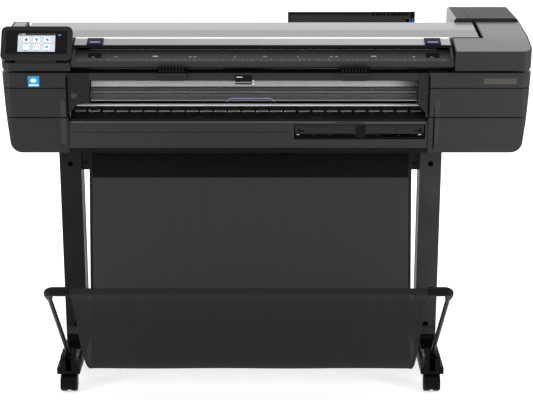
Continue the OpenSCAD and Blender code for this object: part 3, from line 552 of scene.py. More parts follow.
def tuck_in(bm):
    """Draws the lower edge of the front back under the module."""
    start = 683 * MM
    cut_through(bm, (0, 0, start), (0, 0, 1))
    for vert in bm.verts:
        if vert.co.z < start and vert.co.y < (20 + FRONT) * MM:
            vert.co.y += (start - vert.co.z) * 0.28


for node in ("left_lower_cover", "left_upper_cover", "ink_door", "right_lower_cover", "right_upper_cover"):
    softened(node, 1.7, "body void" if "right" in node else "warm void", pick=groove, limit=25,
             change=tuck_in if node in ("ink_door", "right_lower_cover") else None)


def frame_panels(bm):
    """Cuts the window frame's front so that the darker ends can be told from its middle."""
    for x in FRAME_ENDS:
        cut_through(bm, (x * MM, 0, 0), RIGHT)


softened("window_frame", 0.8, "frame frame_dark frame_mid", change=frame_panels,
         pick=lambda c, n: 1 if c.x < FRAME_ENDS[0] else 2 if c.x > FRAME_ENDS[1] else 0)
softened("rear_top_cover", 1, "body")
softened("roll_cover", 1, "body")

# front cover: below the crease its face is plain, above it carries a knurled upper edge whose ridges are
# painted lighter as a highlight
softened("front_cover", 0.6, "body")
knurl = Shape("front_cover_knurl", "root", "knurl", "body_grey")
for start, count, low, high in ((-522, 228, 742.6, 746.8), (262, 53, 741.4, 744.6)):
    for i in range(count):
        x = start + 3.1 * i
        knurl.block(x, x + 1.7, 4.6, 6.4, low, high)
knurl.done(0.25)
# a black strip in the front cover's crease: painted shade
Shape("front_cover_crease_shade", "root", "black", "body_grey").block(-530, 72, 1.6, 2.4, 717.2, 718.4).done()
Shape("front_cover_shadow_seal", "root", "void").block(*BAY, 6.2, 8.8, 660.4, 673.6).done()

# near-black blocks that close the view through the gaps behind the front: painted shade in those gaps
Shape("scanner_gap_shade", "root", "void").block(*BAY, 14, 28, 879.2, 885.8).done(0.4)
for name, x0, x1 in (("left", -535.2, -530.2), ("right", 433.2, 438.2)):
    Shape("bay_side_shade_" + name, "root", "void").block(x0, x1, 5, 24, 664, 879).done(0.4)

# ---------------------------------------------------------------- module trims

# narrow upright strips beside the bay, with a rounded lower corner
for name, body, x0, x1, radii in (("left", "ink_door", -551, -538, (6, 0, 0, 3)),
                                  ("right", "root", 450.5, 463.5, (0, 6, 3, 0))):
    for part, holder, z0, z1, corners in (("", body, 685, 756.5, radii),
                                          ("upper_", "root", 760, 806, (0, 0, 6, 6))):
        Shape("upright_trim_" + part + name, holder, "trim_dark", "body_grey").along_y(
            -0.9, 0.2, rounded(x0, z0, x1, z1, corners, 5)).done(0.35)

# the seam between lower and upper covers, and the front cover's end beside the right module
Shape("cover_seam_shadow", "root", "void", "body_grey").block(-677, -531.5, -0.14, 0.5, 757.5, 760).block(
    434, 677, -0.14, 0.5, 757.5, 760).block(446.8, 449.2, -0.16, 0.5, 672, 757).done()
Shape("front_cover_end", "root", "body", "body_grey").along_y(
    -1.1, 0.4, [(434, 674), (438, 674), (446.5, 714), (446.5, 744), (434, 744)]).done(0.3)

Shape("name_plate", "root", "plate", "body_grey").along_y(
    -0.5, 0.1, rounded(578, 850, 665, 866, 1.5, 4)).done(0.15)
label = Shape("blue_label", "root", "sticker paper_white", "body_grey")
label.along_y(-0.35, 0.1, rounded(-634, 843, -604, 872, 0.8, 3))
label.prism([(8 * cos(t) - 619.5, 5.4 * sin(t) + 860) for t in around(24)],
            (0, 0, 0), RIGHT, (0, 0, 1), 0.45, 1)
label.along_y(-0.45, -0.3, rounded(-631, 845.5, -607, 849.5, 0.5, 2), 1)
label.done()

# ---------------------------------------------------------------- output slot and window

Shape("output_edge_strip", "root", "white_metal").along_x(
    -516, 424, [(48.6, 779), (54.8, 783.2), (54.4, 784.4), (52.4, 784), (48.2, 780.9)]).done(0.3)
dots = Shape("output_edge_marks", "root", "window_grey")
for i in range(26):
    x = -510 + 37.7 * i
    if x < 415:
        dots.block(x - 1.6, x + 1.6, 27, 28.2, 764.3, 765.6)
for cx in (-184, 132):
    for k in range(6):
        dots.block(cx - 9 + 4.4 * k, cx - 6.8 + 4.4 * k, 12.5, 13.5, 754.3, 755.6)
dots.done()

# near-black strips just above and below the output rollers' front, leaving a thin line of them in view:
# painted shade
Shape("output_slot_shade_strips", "root", "void").block(-522, 429, 28.4, 29.1, 764.4, 767.4).block(
    -522, 429, 28.4, 29.1, 756, 761.6).done()

# the carriage beam's bright front, darkened towards its right end as painted shade
Shape("carriage_beam_front", "root", "beam").along_x(
    *PANE, [(31, 836.6), (36, 836.6), (36, 853), (31, 853), (30.6, 851), (30.6, 838.6)]).done(0.5)
# the carriage beam's lower steps: near-black gaps as painted shade between grey shelves, which darken towards
# the right end as painted shade, and a thin light line as a painted highlight
fins = Shape("carriage_beam_shades", "root", "void window_grey window_band window_line")
fins.block(*MOUTH, 33, 34, 796, 836.4, 0)
for z0, z1, front, mat in ((825, 833.8, 32, 1), (820.9, 822.6, 30.6, 3), (818.6, 820.6, 32.4, 0),
                           (808.4, 817.6, 31.6, 2), (801.2, 808, 32.6, 1)):
    fins.block(*MOUTH, front, 33.2, z0, z1, mat)
fins.done(0.25)
# a thin light line on the pane: a painted highlight
Shape("window_pane_highlight_lines", "window_pane", "window_line", "clear_window").block(
    *PANE, 9.2, 10.1, 803.6, 805).done(0.2)
# near-black strips down the bay's edges at the front: painted shade in the gaps
for name, x in (("left", -532.6), ("right", 434.4)):
    Shape("bay_edge_shade_" + name, "root", "void").block(x - 2, x + 2, -0.12, 0.8, 762, 872).done()
Shape("window_grip_edge", "window_pane", "lavender", "clear_window").tube(
    [(-106.5, 5.8, 800.6), (-104.5, 5.8, 802.6), (-95.5, 5.8, 809.6), (-92, 5.8, 810.4),
     (8, 5.8, 810.4), (11.5, 5.8, 809.6), (20.5, 5.8, 802.6), (22.5, 5.8, 800.6)], 0.9, 8).done()
catch = Shape("window_catch", "root", "black ink white_metal")
catch.along_y(1.2, 4.4, rounded(-84, 856.4, -39, 873, 2, 3))
catch.block(-80, -64, 0.8, 1.3, 868, 870, 1)
catch.along_y(0.2, 2, rounded(-37, 856.4, -32.6, 860.5, 1.2, 3), 2)
catch.along_y(-0.2, 1, rounded(-35.9, 857.3, -33.6, 859.4, 0.8, 3), 0)
catch.done(0.4)
tongue = Shape("window_catch_tongue", "window_pane", "black white_metal", "clear_window")
tongue.along_y(7.7, 10.1, rounded(-84, 847.6, -39, 851, 1.4, 3))
tongue.along_y(7.7, 10.1, rounded(-37, 847.6, -32.6, 851, 1.2, 3), 1)
tongue.done(0.3)
Shape("frame_button", "root", "trim_dark").lathe(
    [(0, 8.6), (1, 8.4), (1.6, 7.4), (1.7, 5.2), (1.2, 4.6), (1.2, 0.01)],
    (-514, 4.2, 818), (0, -1, 0)).done()

# ---------------------------------------------------------------- sheet tray front

def tray_front(shape, x0, x1, mirror):
    """A cover plate with three nested outlines that open towards the middle post."""
    for step in range(3):
        left, right = (x0, x1 - 13 * step) if mirror else (x0 + 13 * step, x1)
        radii = (5, 5, 1, 1) if step == 0 else (3, 3, 1, 1)
        shape.along_y(6.6 - 1.5 * step, 9 - 1.5 * step,
                      rounded(left, 712 + 2.6 * step, right, 735.5 - 5.6 * step, radii, 4))


softened("sheet_tray", 0.5, "black")
face = Shape("sheet_tray_face", "sheet_tray", "tray_face lavender ink black")
tray_front(face, 77, 238, False)
tray_front(face, 268, 423, True)
face.block(236, 270, 4.8, 7, 710, 737, 0)
face.block(243, 258.5, 3.6, 4.9, 711.8, 713.6, 1)
for x in (84, 412):
    face.block(x - 4, x + 4, 5.2, 6.2, 709.4, 711.2, 2)
for x in (128, 168, 300, 356):
    face.block(x - 5, x + 5, 4.4, 6.4, 706.2, 710.6, 3)
face.done(0.45)

# ---------------------------------------------------------------- scanner

# upward faces take the lighter bed grey and front-facing faces the darker lip grey: painted light and shade
# by facing
softened("scanner_base", 1, "bed lip", pick=lambda c, n: 1 if n.y < -0.7 else 0)


# the lid's front face, in shade above the paper entry, is painted black as painted shade; the front slope
# takes the slope silver and the rest the lid silver, both darkened in parts as painted shade
def lid_faces(centre, normal):
    if normal.y < -0.7 and centre.y < 50:
        return 1
    return 2 if centre.y < 88 and normal.z > 0.9 else 0


def silver_inset(rim):
    """Paints a cap's upper faces silver inside a dark rim; the steeper front takes the third material, which
    on the left cap is a darker silver as painted shade.
    """
    def change(bm):
        tops = [f for f in bm.faces if f.normal.z > 0.85 and f.calc_center_median().z > 0.9
                and f.calc_area() > 4e-4]
        for face in tops:
            face.material_index = 1 if face.normal.z > 0.99 else 2
        made = bmesh.ops.inset_region(bm, faces=tops, thickness=rim * MM, use_even_offset=True)
        for face in made["faces"]:
            face.material_index = 3
    return change


softened("scanner_lid", 1.6, "silver_lid black silver_slope", pick=lid_faces, segments=3)
# a raised rib along the lid's crease, painted near-white as a highlight
Shape("lid_crease", "scanner_lid", "highlight", "silver_paint").along_x(
    -514, 492, [(84.5, 956), (90.5, 957.2), (91, 958.6), (89, 959.4), (85.2, 957.9)]).done(0.4, 3)
Shape("lid_cap_line", "root", "black", "body_grey").along_x(
    500.5, 581, [(92.4, 957.9), (93.6, 958.2), (93.6, 958.7), (92.4, 958.4)]).done()

softened("left_end_cap", 1.2, "warm silver silver_front plain_dark", change=silver_inset(6), segments=3)
softened("right_end_cap", 1.6, "body silver_cap silver_cap plain_dark", change=silver_inset(3.6), segments=3)


# the rear box's left-facing side takes a much lighter grey: painted light
softened("rear_box", 2.5, "rearbox rearbox_side", segments=3,
         pick=lambda c, n: 1 if n.x < -0.6 and c.x < 540 else 0)

# latches: a rounded tongue with a recessed label window
for name, x in (("latch_left", -480), ("latch_right", 423)):
    start, along, up = turned(44, 947.5, 13.3)
    latch = Shape(name + "_skin", name, "black lavender dark", slot_of[name])
    for outline, lift, thick, mat in ((rounded(0, -3.4, 43, 36, (1.5, 1.5, 7, 7), 6), 0.5, 3.4, 0),
                                      (rounded(6, 3.5, 37, 28, 4, 5), 3.9, 0.5, 2),
                                      (rounded(7.5, 5, 35.5, 11, 1.5, 3), 4.35, 0.35, 1)):
        latch.prism(outline, start + Vector((x, 0, 0)) + up * lift, RIGHT, along, thick, mat)
    latch.along_y(40.1, 43.3, rounded(x, 940.5, x + 43, 948.6, (2.5, 2.5, 1, 1), 4), 0)
    latch.lathe([(0, 1.6), (43, 1.6)], (x, 78.53, 957.92), RIGHT, 20, 0)
    latch.done(0.5, 2, replaces=(name,))

# scanner bed: glossy landing patches, centring marks, ruler and paper outlines, and a near-black band under
# the lid's front as painted shadow
bed_at, bed_along, bed_up = turned(5, 909, 18.7)
bed = Shape("bed_marks", "root", "ink bed_gloss dark void ink_dim", "body_grey")


def on_bed(x0, x1, a0, a1, thick=0.25, mat=0, r=0):
    """A thin mark on the bed; a0 and a1 are distances up its slope."""
    bed.prism(rounded(x0, a0, x1, a1, r, 3), bed_at + bed_up * 0.05, RIGHT, bed_along, thick, mat)


for cx in (-458, 444):
    on_bed(cx - 18, cx + 17, 21, 45, 0.35, 1, 2.5)
    on_bed(cx - 6, cx + 1, 23.5, 24.6, 0.5)
    on_bed(cx - 7, cx - 5.6, 24, 27, 0.5)
for i in range(75):
    x = -470 + 12.7 * i
    ticks = ((-0.6, 0.6, 12.4, 14.2),) if i % 2 else ((-1.6, 1.6, 10.6, 12.4), (-0.5, 0.5, 12.4, 15.4))
    for x0, x1, a0, a1 in ticks + ((3, 3.8, 12.4, 13.4), (8.4, 9.2, 12.4, 13.4)):
        on_bed(x + x0, x + x1, a0, a1, mat=4)
BED_SIGNS = (((-3.5, 3.5, 26, 27.1), (2.4, 3.5, 27.1, 31)), ((-7, 7, 28.5, 31.5),), ((-0.6, 0.6, 24, 31),),
             ((-6, -1.5, 27.5, 28.6), (1.5, 6, 27.5, 28.6), (-0.6, 0.6, 24, 32)))
for x, kind in ((-402, 0), (-296, 1), (-204, 0), (-192, 0), (-84, 2), (-4, 3), (84, 2), (172, 0), (186, 0),
                (286, 1), (392, 0)):
    for x0, x1, a0, a1 in BED_SIGNS[kind]:
        on_bed(x + x0, x + x1, a0, a1)
on_bed(-514, 494, 2.2, 3, 0.3, 2)
# a near-black band up the bed under the lid's front: painted shadow
on_bed(-508, 488, 58.5, 86.2, 0.3, 3)
bed.done()

# cheeks at both ends of the bed
for name, x0, x1 in (("left", -517.6, -509), ("right", 489, 497.6)):
    cheek = Shape("bed_cheek_" + name, "root", "trim_dark", "body_grey")
    cheek.along_x(x0, x1, [(5.4, 905), (5.4, 911.5), (10, 921), (58, 940), (70, 941), (91, 938),
                           (91, 928), (64, 928)])
    cheek.done(1.2, 3)

# deflectors: a dark ribbed root on a near-black plate, a rolled edge in a lighter grey as a painted
# reflection, and a grey shield with rounded lower corners
for name, x in (("deflector_left", -291), ("deflector_right", 194)):
    flap = Shape(name + "_skin", name, "frame_dark deflector void bed", slot_of[name])
    flap.along_y(-8, -5, [(x + 4, 898), (x + 1.5, 895.5), (x + 1, 868), (x + 3.5, 863), (x + 8.5, 860.4),
                          (x + 71.5, 860.4), (x + 76.5, 863), (x + 79, 868), (x + 78.5, 895.5),
                          (x + 76, 898)], 1)
    for i in range(8):
        rib = x + 8 + 8.6 * i
        flap.block(rib, rib + 2.2, -9.4, -7.9, 884, 895)
    flap.block(x + 1, x + 79, -8.9, -7.9, 880.2, 897.5, 2)
    flap.lathe([(0, 1.5), (76, 1.5)], (x + 2, -7.2, 878.8), RIGHT, 16, 3)
    flap.block(x + 4, x + 76, -5.1, 1, 892.5, 895.5, 2)
    flap.lathe([(0, 2.5), (72, 2.5)], (x + 4, -2, 894), RIGHT, 20)
    flap.done(0.5, 2, replaces=(name,))

# ---------------------------------------------------------------- control panel

softened("control_panel", 1.8, "panel_case", segments=4)
WIDE, TALL = 189, 97                             # the panel's face
SX0, SX1, SY0, SY1 = 45, 144, 24.5, 77           # its lit screen
base, face_v, face_n = turned(-4.5, 916, 56)
base.x = -705
ui = Shape("panel_display", "control_panel",
           "panel_glass screen tile glyph glyph_blue glyph_green screen_bar", "body_grey")


def on_panel(outline, height, thick, mat):
    ui.prism(outline, base + face_n * height, RIGHT, face_v, thick, mat)


# each tile's picture: outlines about its middle, with height, thickness and material
ICONS = (
    ((rounded(-3.6, -4.2, 3.6, 2.2, 2.2, 4), -0.03, 0.1, 3),
     (rounded(-2.2, 1.6, 2.2, 5, 0.6, 2), -0.03, 0.12, 3)),
    ((rounded(-5.5, -0.5, 1.5, 5, 1, 3), -0.03, 0.1, 4), (rounded(-1, -0.5, 5.5, 4.5, 1, 3), -0.03, 0.16, 5),
     (rounded(-1.8, -5.5, 1.8, 0.5, 0.6, 2), -0.03, 0.2, 3)),
    (([(-5.5, 2.5), (-1, 5), (2, 1), (-3, -1.5)], -0.03, 0.1, 4),
     ([(-2, -1), (2.5, 2), (5.5, -2), (1.5, -5)], -0.03, 0.16, 3)),
    [(rounded(a, b, a + 1.8, b + 1.4, 0.3, 2), -0.03, 0.1, 3)
     for a, b in ((-4.5, 2), (3, 2), (-4.5, -3), (3, -3), (-0.8, -0.6))],
    ((rounded(-6, -4.4, 6, 4.4, 1.4, 3), -0.03, 0.08, 3),
     (rounded(-4.8, -2.9, 4.8, 2.2, 0.5, 3), 0.04, 0.08, 2)),
    (([((3.2 + cos(2 * t)) * cos(t), 5 * sin(t)) for t in around(20)], -0.03, 0.1, 4),
     ([(-5, -5), (0, -1), (-3.4, 1.2)], -0.03, 0.16, 4)),
)
on_panel(rounded(13.6, 17.6, WIDE - 13.6, TALL - 12.6, 2, 3), -0.78, 0.6, 0)
on_panel(rounded(SX0, SY0, SX1, SY1, 0.8, 2), -0.2, 0.08, 1)
on_panel(rounded(SX0, SY1 - 6.4, SX1, SY1, 0), -0.15, 0.2, 6)
on_panel(rounded(SX0 + 3, SY1 - 4.4, SX0 + 7, SY1 - 1.4, 1.2, 3), 0.04, 0.1, 5)
on_panel(rounded(SX0 + 9, SY1 - 3.4, SX0 + 20, SY1 - 2.3, 0), 0.04, 0.1, 2)
for row, y in enumerate((51.5, 30.5)):
    for col, x in enumerate((60, 87.5, 115)):
        on_panel(rounded(x, y, x + 15, y + 14.5, 2.6, 4), -0.14, 0.12, 2)
        on_panel(rounded(x + 2, y - 3.3, x + 13, y - 2.2, 0), -0.13, 0.05, 3)
        for outline, height, thick, mat in ICONS[row * 3 + col]:
            on_panel([(x + 7.5 + a, y + 7.2 + b) for a, b in outline], height, thick, mat)
for side in (-1, 1):
    cx, cy = 155.5, 71
    on_panel([(cx, cy - 2.2), (cx + side * 4.2, cy + 1.4), (cx + side * 4.2, cy + 3.4), (cx, cy + 0.2)]
             if side > 0 else
             [(cx, cy - 2.2), (cx, cy + 0.2), (cx - 4.2, cy + 3.4), (cx - 4.2, cy + 1.4)], -0.18, 0.08, 4)
ui.done(0)
Shape("panel_lower_lip", "control_panel", "trim_dark", "body_grey").prism(
    rounded(12, 1.2, WIDE - 12, 2.6, 0), base + face_n * 0.02, RIGHT, face_v, 0.5).done(0.2)

softened("rear_tray", 0.8, "tray")
# the rear tray's moulded pocket, buttons and end clip, and the blue edge stop
clip = Shape("rear_tray_fittings", "rear_tray", "black window_grey tray", "tray_plastic")
for x0, x1, z0, z1, mat in ((302, 404, 972.5, 983.5, 0), (308, 312, 975.5, 980, 1), (330, 333, 975, 979.5, 1),
                            (341, 344, 974.5, 980, 1), (352, 355, 974.5, 980, 1), (372, 375, 976, 981, 1),
                            (384, 392, 972, 974.5, 1), (393, 396, 976, 982, 1), (404, 409, 974, 984, 2),
                            (412, 424, 966, 984, 0), (416, 420, 976, 983, 1), (398, 424, 954, 963, 0)):
    clip.block(x0, x1, 347.2 - 0.8 * mat, 349, z0, z1, mat)
clip.done(0.5)
stop = Shape("edge_stop_blue", "sheet_guide", "blue", "blue_plastic")
stop.along_y(345.4, 346.6, [(408.5, 954), (412, 954), (412, 962), (410.5, 963), (408.5, 962)])
stop.along_y(345.4, 346.6, [(414.5, 954), (422, 954), (420.6, 960), (418, 963.5), (416, 960)])
stop.done(0.2)

# ---------------------------------------------------------------- stand

def mitre(y, z, r, a0, a1, steps=8):
    """Points of an arc in the Y-Z plane, angles in degrees from +Y."""
    return [(y + r * cos(radians(a0 + (a1 - a0) * i / steps)),
             z + r * sin(radians(a0 + (a1 - a0) * i / steps))) for i in range(steps + 1)]


# the right leg takes a lighter copy of the stand's black: painted light
softened("legs", 2.4, "stand stand_right", segments=3, pick=lambda c, n: 1 if c.x > 0 else 0)
softened("crossbar", 1.5, "stand")
LEGS = (-545.5, 456.5)
ARM_Y, ARM_Z = -62, 97
for name, x in (("left", LEGS[0]), ("right", LEGS[1])):
    foot = Shape("foot_" + name + "_cast", "root", "foot black foot_lit", "stand_metal")
    foot.along_y(-93, -34, [(x + a, z) for a, z in (
        (-31.5, 54), (31.5, 54), (31.5, 73), (22, 77), (20.5, 107), (7.6, 107), (7.6, 63), (-7.6, 63),
        (-7.6, 107), (-20.5, 107), (-22, 77), (-31.5, 73))])
    foot.along_y(-34, 425, [(x + a, z) for a, z in (
        (-31.5, 52.5), (31.5, 52.5), (31.5, 71), (27.5, 75.5), (-27.5, 75.5), (-31.5, 71))])
    foot.block(x - 7.6, x + 7.6, -52, -36, 63, 92)
    # the curved bracket that carries the leg, with its two ribs
    flare = [(84, 75), (150, 75), (150, 113), (113.6, 113)] + mitre(84, 105, 30, 10, -80, 8)[:-1]
    foot.along_x(x - 27, x + 27, flare)
    # a strip along the bracket's front top, painted lighter as a highlight
    foot.along_x(x - 28, x + 28, [(116, 116), (106, 97), (104, 93), (110, 91), (116, 91)], mat=2)
    for side in (-1, 1):
        rib = x + side * 19
        foot.along_x(rib - 2.5, rib + 2.5, [(-34, 75), (84, 75), (84, 84), (20, 82), (-34, 103)])
    foot.done(1.3, limit=28, replaces=("foot_" + name,))
    pivot = Shape("arm_pivot_" + name, "root", "steel", None)
    pivot.lathe([(-17, 0.5), (-17, 4.2), (17, 4.2), (17, 0.5)], (x, ARM_Y, ARM_Z), RIGHT)
    for side in (-1, 1):
        pivot.lathe([(0, 5.2), (2.4, 5.2), (3, 4.2), (3, 0.4)], (x + side * 20.4, ARM_Y, ARM_Z),
                    (side, 0, 0), 6)
    for y in (170, 240, 330):
        pivot.lathe([(0, 5), (1.8, 5), (2.4, 4.2), (2.4, 2.4), (0.6, 2.2), (0.6, 0.1)],
                    (x, y + 20, 75.5), (0, 0, 1), 24)
    pivot.done(0.2)
    # folded flange down the leg's inner rear edge, painted light grey as a highlight, and the rim of each
    # screw's hole, near-black inside as painted shade
    side = 1 if name == "left" else -1
    edge = Shape("leg_flange_" + name, "root", "leg_edge void stand", None)
    edge.block(x + side * 30.4 - 0.8, x + side * 30.4 + 0.8, 168, 171.4, 116, 574)
    for z in (598, 120):
        edge.lathe([(-0.5, 8.3), (0.5, 8.1), (0.5, 7), (-0.5, 7)], (x, 115, z), (0, -1, 0), 32, mat=2)
        edge.lathe([(-3.6, 7), (-3.2, 7), (-3.2, 0.2), (-3.6, 0.2)], (x, 115, z), (0, -1, 0), 32, mat=1)
    edge.done(0)
    # triangular gusset between the leg and the plate under the machine
    Shape("leg_gusset_" + name, "root", "stand", None).along_x(
        x - side * 27 - 1.5, x - side * 27 + 1.5, [(175, 648), (228, 648), (228, 640), (175, 560)]).done(0.5)

for name, x0, x1 in (("left", LEGS[0] + 30.3, LEGS[0] + 52), ("right", LEGS[1] - 52, LEGS[1] - 30.3)):
    cheek = Shape("crossbar_plate_" + name, "root", "stand black", None)
    cheek.block(x0, x1, 122.6, 126, 586, 644)
    for z in (598, 632):
        cheek.lathe([(0, 5.2), (2.2, 5.2), (2.8, 4.4), (2.8, 2.6), (1, 2.4), (1, 0.1)],
                    ((x0 + x1) / 2, 122.6, z), (0, -1, 0), 24, mat=1)
    cheek.done(0.4)

# ---------------------------------------------------------------- casters

for end, swivel in (("front", -56), ("rear", 396)):
    for name, x in (("left", LEGS[0]), ("right", LEGS[1])):
        tag = end + "_" + name
        y, z = swivel - 22, 24
        fork = Shape("caster_hood_" + tag, "fork_" + tag, "caster black steel",
                     "caster_plastic")
        hood = mitre(y, z, 26.1, 208, 24, 22) + mitre(y, z, 24.7, 24, 208, 22)
        fork.along_x(x - 22.4, x + 22.4, hood)
        fork.along_x(x - 3.9, x + 3.9, [(y - 8, 18), (y + 8, 18), (swivel + 14, 43), (swivel + 16, 49.8),
                                        (y - 2, 49.8), (y - 16, 42)])
        fork.lathe([(0, 17), (2, 17), (2.2, 16.2), (2.2, 0.5)], (x, swivel, 49.6), (0, 0, 1), 40)
        for a, dx in ((196, -4.2), (196, 4.2), (180, 0)):
            c, s = cos(radians(a)), sin(radians(a))
            fork.lathe([(-0.6, 1.5), (0.25, 1.5), (0.35, 1), (0.35, 0.1)],
                       (x + dx, y + 26.1 * c, z + 26.1 * s), (0, c, s), 12, mat=1)
        fork.done(0.5, limit=40, replaces=("fork_" + tag,))
        wheel = Shape("caster_wheels_" + tag, "wheels_" + tag, "caster tread steel",
                      "caster_plastic")
        wheel.lathe([(-21.8, 0.4), (-21.8, 3), (21.8, 3), (21.8, 0.4)], (x, y, z), RIGHT, 16, mat=2)
        for side in (-1, 1):
            start = (x + side * 5, y, z)
            wheel.lathe([(0, 3.2), (0, 22.4), (0.8, 23), (16.2, 23), (17, 22.4), (17, 19.5),
                         (15.4, 18.6), (14.8, 9), (17, 8), (17, 3.2)], start, (side, 0, 0), 48)
            wheel.lathe([(1.4, 22.8), (1.8, 23.9), (15.2, 23.9), (15.6, 22.8)], start,
                        (side, 0, 0), 48, mat=1)
            for k in range(5):
                t = radians(72 * k)
                spoke = (x + side * 20, y + 13.8 * cos(t), z + 13.8 * sin(t))
                wheel.lathe([(0, 2.9), (0.9, 2.7), (0.9, 0.2)], spoke, (side, 0, 0), 14)
        wheel.done(0.25, limit=40, replaces=("wheels_" + tag,))

# ---------------------------------------------------------------- bin frame

BAR_Y, BAR_Z = -400.5, 412
arm_dir = Vector((0, BAR_Y - ARM_Y, BAR_Z - ARM_Z)).normalized()
arm_up = Vector((0, -arm_dir.z, arm_dir.y))
arms = Shape("bin_arms_tube", "bin", "bin black", "bin_metal")
for x, side in ((LEGS[0] - 0.5, 1), (LEGS[1] + 0.5, -1)):
    low = Vector((x + side * 0.5, ARM_Y, ARM_Z))
    top = Vector((x, BAR_Y, BAR_Z))
    arms.tube([low + arm_dir * 4, low + (top - low) * 0.5, top - arm_dir * 34], [6, 6, 6], 20, up=RIGHT)
    # tapered socket, then the bend round to the bar
    path, radii = [top - arm_dir * 46, top - arm_dir * 42, top - arm_dir * 26], [7, 8.2, 10.4]
    turn_r = 13
    for i in range(11):
        t = radians(9 * i)
        path.append(top - arm_dir * turn_r * (1 - sin(t)) + Vector((side * turn_r * (1 - cos(t)), 0, 0)))
        radii.append(10.8 + 1.2 * i / 10)
    for along in (30, 50):
        path.append(top + Vector((side * along, 0, 0)))
        radii.append(12)
    for along, r in ((53, 11.9), (53.6, 11.2)):
        path.append(top + Vector((side * along, 0, 0)))
        radii.append(r)
    arms.tube(path, radii, 28, up=arm_up)
    arms.lathe([(-7.2, 1), (-7.2, 8.6), (-6.6, 9.4), (6.6, 9.4), (7.2, 8.6), (7.2, 1)],
               (x + side * 0.5, ARM_Y, ARM_Z), RIGHT, 32)
arms.done(0, smooth=50, replaces=("bin_arms",))
bar = Shape("bin_bar_tube", "bin", "bin", "bin_metal")
bar.lathe([(0, 6), (0, 7.4), (970, 7.4), (970, 6)], (LEGS[0] + 16, BAR_Y, BAR_Z), RIGHT, 32)
bar.done(0, replaces=("bin_bar",))

# ---------------------------------------------------------------- fabric bin: one hung sheet

FABRIC_X0, FABRIC_X1 = -491.5, 402.5


def smooth_path(points, steps):
    """A curve through the points, with steps pieces between each two."""
    pts = [Vector((0, *p)) for p in points]
    pts = [pts[0] * 2 - pts[1]] + pts + [pts[-1] * 2 - pts[-2]]
    out = []
    for a, b, c, d in zip(pts, pts[1:], pts[2:], pts[3:]):
        for i in range(steps):
            t = i / steps
            out.append(0.5 * (2 * b + (c - a) * t + (2 * a - 5 * b + 4 * c - d) * t * t
                              + (3 * b - a - 3 * c + d) * t ** 3))
    out.append(pts[-2])
    return out


hung = smooth_path([(121, 642), (98, 545), (74, 440), (49, 330), (26, 225), (7, 135), (-5, 84), (-18, 58),
                    (-34, 50), (-55, 55), (-84, 70.5), (-123, 95), (-160, 127), (-203, 174), (-255, 240),
                    (-308, 316), (-352, 368)], 6)
wrap_r = 8.6
wrap = [Vector((0, BAR_Y + wrap_r * cos(radians(a)), BAR_Z + wrap_r * sin(radians(a))))
        for a in range(232, 30, -9)]
seam = [Vector((0, -388, 404.5)), Vector((0, -381.5, 398.6)), Vector((0, -375, 391.9))]
hung += [Vector((0, -388.8, 393.8))] + wrap + seam


def hung_sheet(name, x0, x1, across, mats, lift=0, first=0, last=None):
    """The fabric's path swept across, lifted by lift mm from its face; the map is in metres."""
    path = hung[first:last]
    mesh_bm = bmesh.new()
    uv = mesh_bm.loops.layers.uv.new("cloth")
    length, rows, runs = 0, [], []
    for i, point in enumerate(path):
        run = (path[min(i + 1, len(path) - 1)] - path[max(i - 1, 0)]).normalized()
        normal = Vector((0, -run.z, run.y))
        if i:
            length += (point - path[i - 1]).length
        runs.append(length)
        sag = 0 if i > len(hung) - len(wrap) - 6 else sin(pi * min(1, length / 1150))
        row = []
        for k in range(across + 1):
            x = x0 + (x1 - x0) * k / across
            wave = 1.6 * sag * sin(x / 61 + 1.3 * sin(length / 240)) * sin(length / 97)
            row.append(mesh_bm.verts.new(at(*(point + normal * (lift + wave) + Vector((x, 0, 0))))))
        rows.append(row)
    for i, (a, b) in enumerate(zip(rows, rows[1:])):
        for k in range(across):
            face = mesh_bm.faces.new((a[k], a[k + 1], b[k + 1], b[k]))
            for loop, (u, v) in zip(face.loops, ((k, i), (k + 1, i), (k + 1, i + 1), (k, i + 1))):
                loop[uv].uv = ((x0 + (x1 - x0) * u / across) * MM, runs[v] * MM)
    mesh = bpy.data.meshes.new(name)
    mesh_bm.to_mesh(mesh)
    mesh_bm.free()
    mesh.shade_smooth()
    paint(mesh, mats)
    return placed(name, mesh), length * MM


cloth, cloth_length = hung_sheet("bin_cloth", FABRIC_X0, FABRIC_X1, 60, "fabric")
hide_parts("fabric_rear", "fabric_front")
# a darker band over the top of the sheet: painted shadow of the machine above
bindings = [hung_sheet("cloth_top_shadow_band", FABRIC_X0 + 8, FABRIC_X1 - 8, 60, "hem_top_shadow", -0.6, 0, 6)[0]]
for name, x0, x1 in (("left", FABRIC_X0 - 0.5, FABRIC_X0 + 7), ("right", FABRIC_X1 - 7, FABRIC_X1 + 0.5)):
    for face_name, lift in (("inner", 0.7), ("outer", -0.7)):
        bindings.append(hung_sheet("cloth_binding_" + name + "_" + face_name, x0, x1, 3, "hem", lift,
                                   0, len(hung) - len(wrap) - 5)[0])
for piece in [cloth] + bindings:
    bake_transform(piece)

# ---------------------------------------------------------------- everything else keeps its CAD shape

finish_of = {
    "base_tray": "black", "side_plates": "steel", "platen": "dark", "carriage_rail": "rail",
    "carriage": "dark", "carriage_belt": "rubber", "drive_pulley": "steel", "idler_pulley": "steel",
    "drive_motors": "steel", "feed_roller": "rubber", "pinch_rollers": "rubber",
    "output_rollers": "roller", "roll_spindle": "dark", "ink_cartridges": "black",
    "service_station": "dark", "mainboard": "board", "power_inlet": "black",
    "scanner_glass": "glass", "image_sensors": "black", "scanner_roller": "rubber",
    "leg_bolts": "steel", "sheet_guide": "blue", "window_pane": "window",
}
for name, node in frame["nodes"].items():
    if name in finish_of:
        for material_slot in node.material_slots:
            material_slot.material = M[finish_of[name]]

# ---------------------------------------------------------------- floor, light and camera

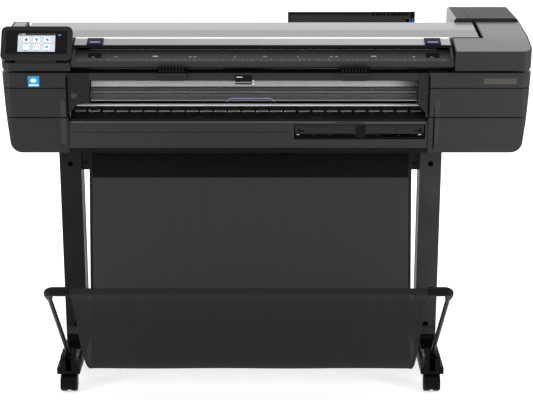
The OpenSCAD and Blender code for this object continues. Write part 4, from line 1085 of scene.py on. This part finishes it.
floor_mat = material("floor_paint", 0.93, 0.65)
floor_mat.node_tree.nodes["Principled BSDF"].inputs["Emission Color"].default_value = (1, 1, 1, 1)
floor_mat.node_tree.nodes["Principled BSDF"].inputs["Emission Strength"].default_value = 0.47
g = Graph(floor_mat)
g.rough(g.spread(g.noise(6, 3), 0.6, 0.72))
g.color(g.blend_color(g.spread(g.noise(2.5, 2), 0, 1), rgb(0.92), rgb(0.94)))


def make_floor():
    """A broad flat floor; the world's light is the background all round."""
    bm = bmesh.new()
    bmesh.ops.create_circle(bm, cap_ends=True, segments=96, radius=14)
    mesh = bpy.data.meshes.new("floor")
    bm.to_mesh(mesh)
    bm.free()
    mesh.materials.append(floor_mat)
    return placed("floor", mesh)


make_floor()

world = bpy.data.worlds.new("studio")
world.use_nodes = True
world.node_tree.nodes["Background"].inputs["Color"].default_value = (1, 1, 1, 1)
world.node_tree.nodes["Background"].inputs["Strength"].default_value = 1
bpy.context.scene.world = world


def softbox(name, place, aim, width, height, power, color=(1, 1, 1)):
    lamp = bpy.data.lights.new(name, "AREA")
    lamp.shape = "RECTANGLE"
    lamp.size, lamp.size_y = width, height
    lamp.energy = power
    lamp.color = color
    holder = placed(name, lamp)
    holder.location = place
    holder.rotation_mode = "QUATERNION"
    holder.rotation_quaternion = (Vector(place) - Vector(aim)).to_track_quat("Z", "Y")


softbox("top_light", (0, 0.3, 3.4), (0, 0.1, 0.9), 3.2, 1.8, 28)
softbox("front_left", (-2.6, -2.6, 2.3), (0, 0, 0.7), 1.4, 1.8, 14)
softbox("front_right", (2.8, -2.2, 2.2), (0, 0, 0.7), 1.4, 1.8, 22)

for side in (-1, 1):
    softbox("edge_light_" + str(side + 2), (side * 3, -1.9, 1.2), (0, 0, 0.8), 0.45, 2.2, 34)

scene = bpy.context.scene
scene.view_settings.view_transform = "Standard"

lens = bpy.data.cameras.new("camera")
lens.sensor_fit = "HORIZONTAL"
lens.sensor_width = 36
lens.lens = 101.3
lens.clip_start, lens.clip_end = 0.1, 60
viewpoint = placed("camera", lens)
viewpoint.location = at(0, -3903.5, 1725.1)
viewpoint.rotation_euler = (radians(90 - 17.05), 0, 0)
scene.camera = viewpoint
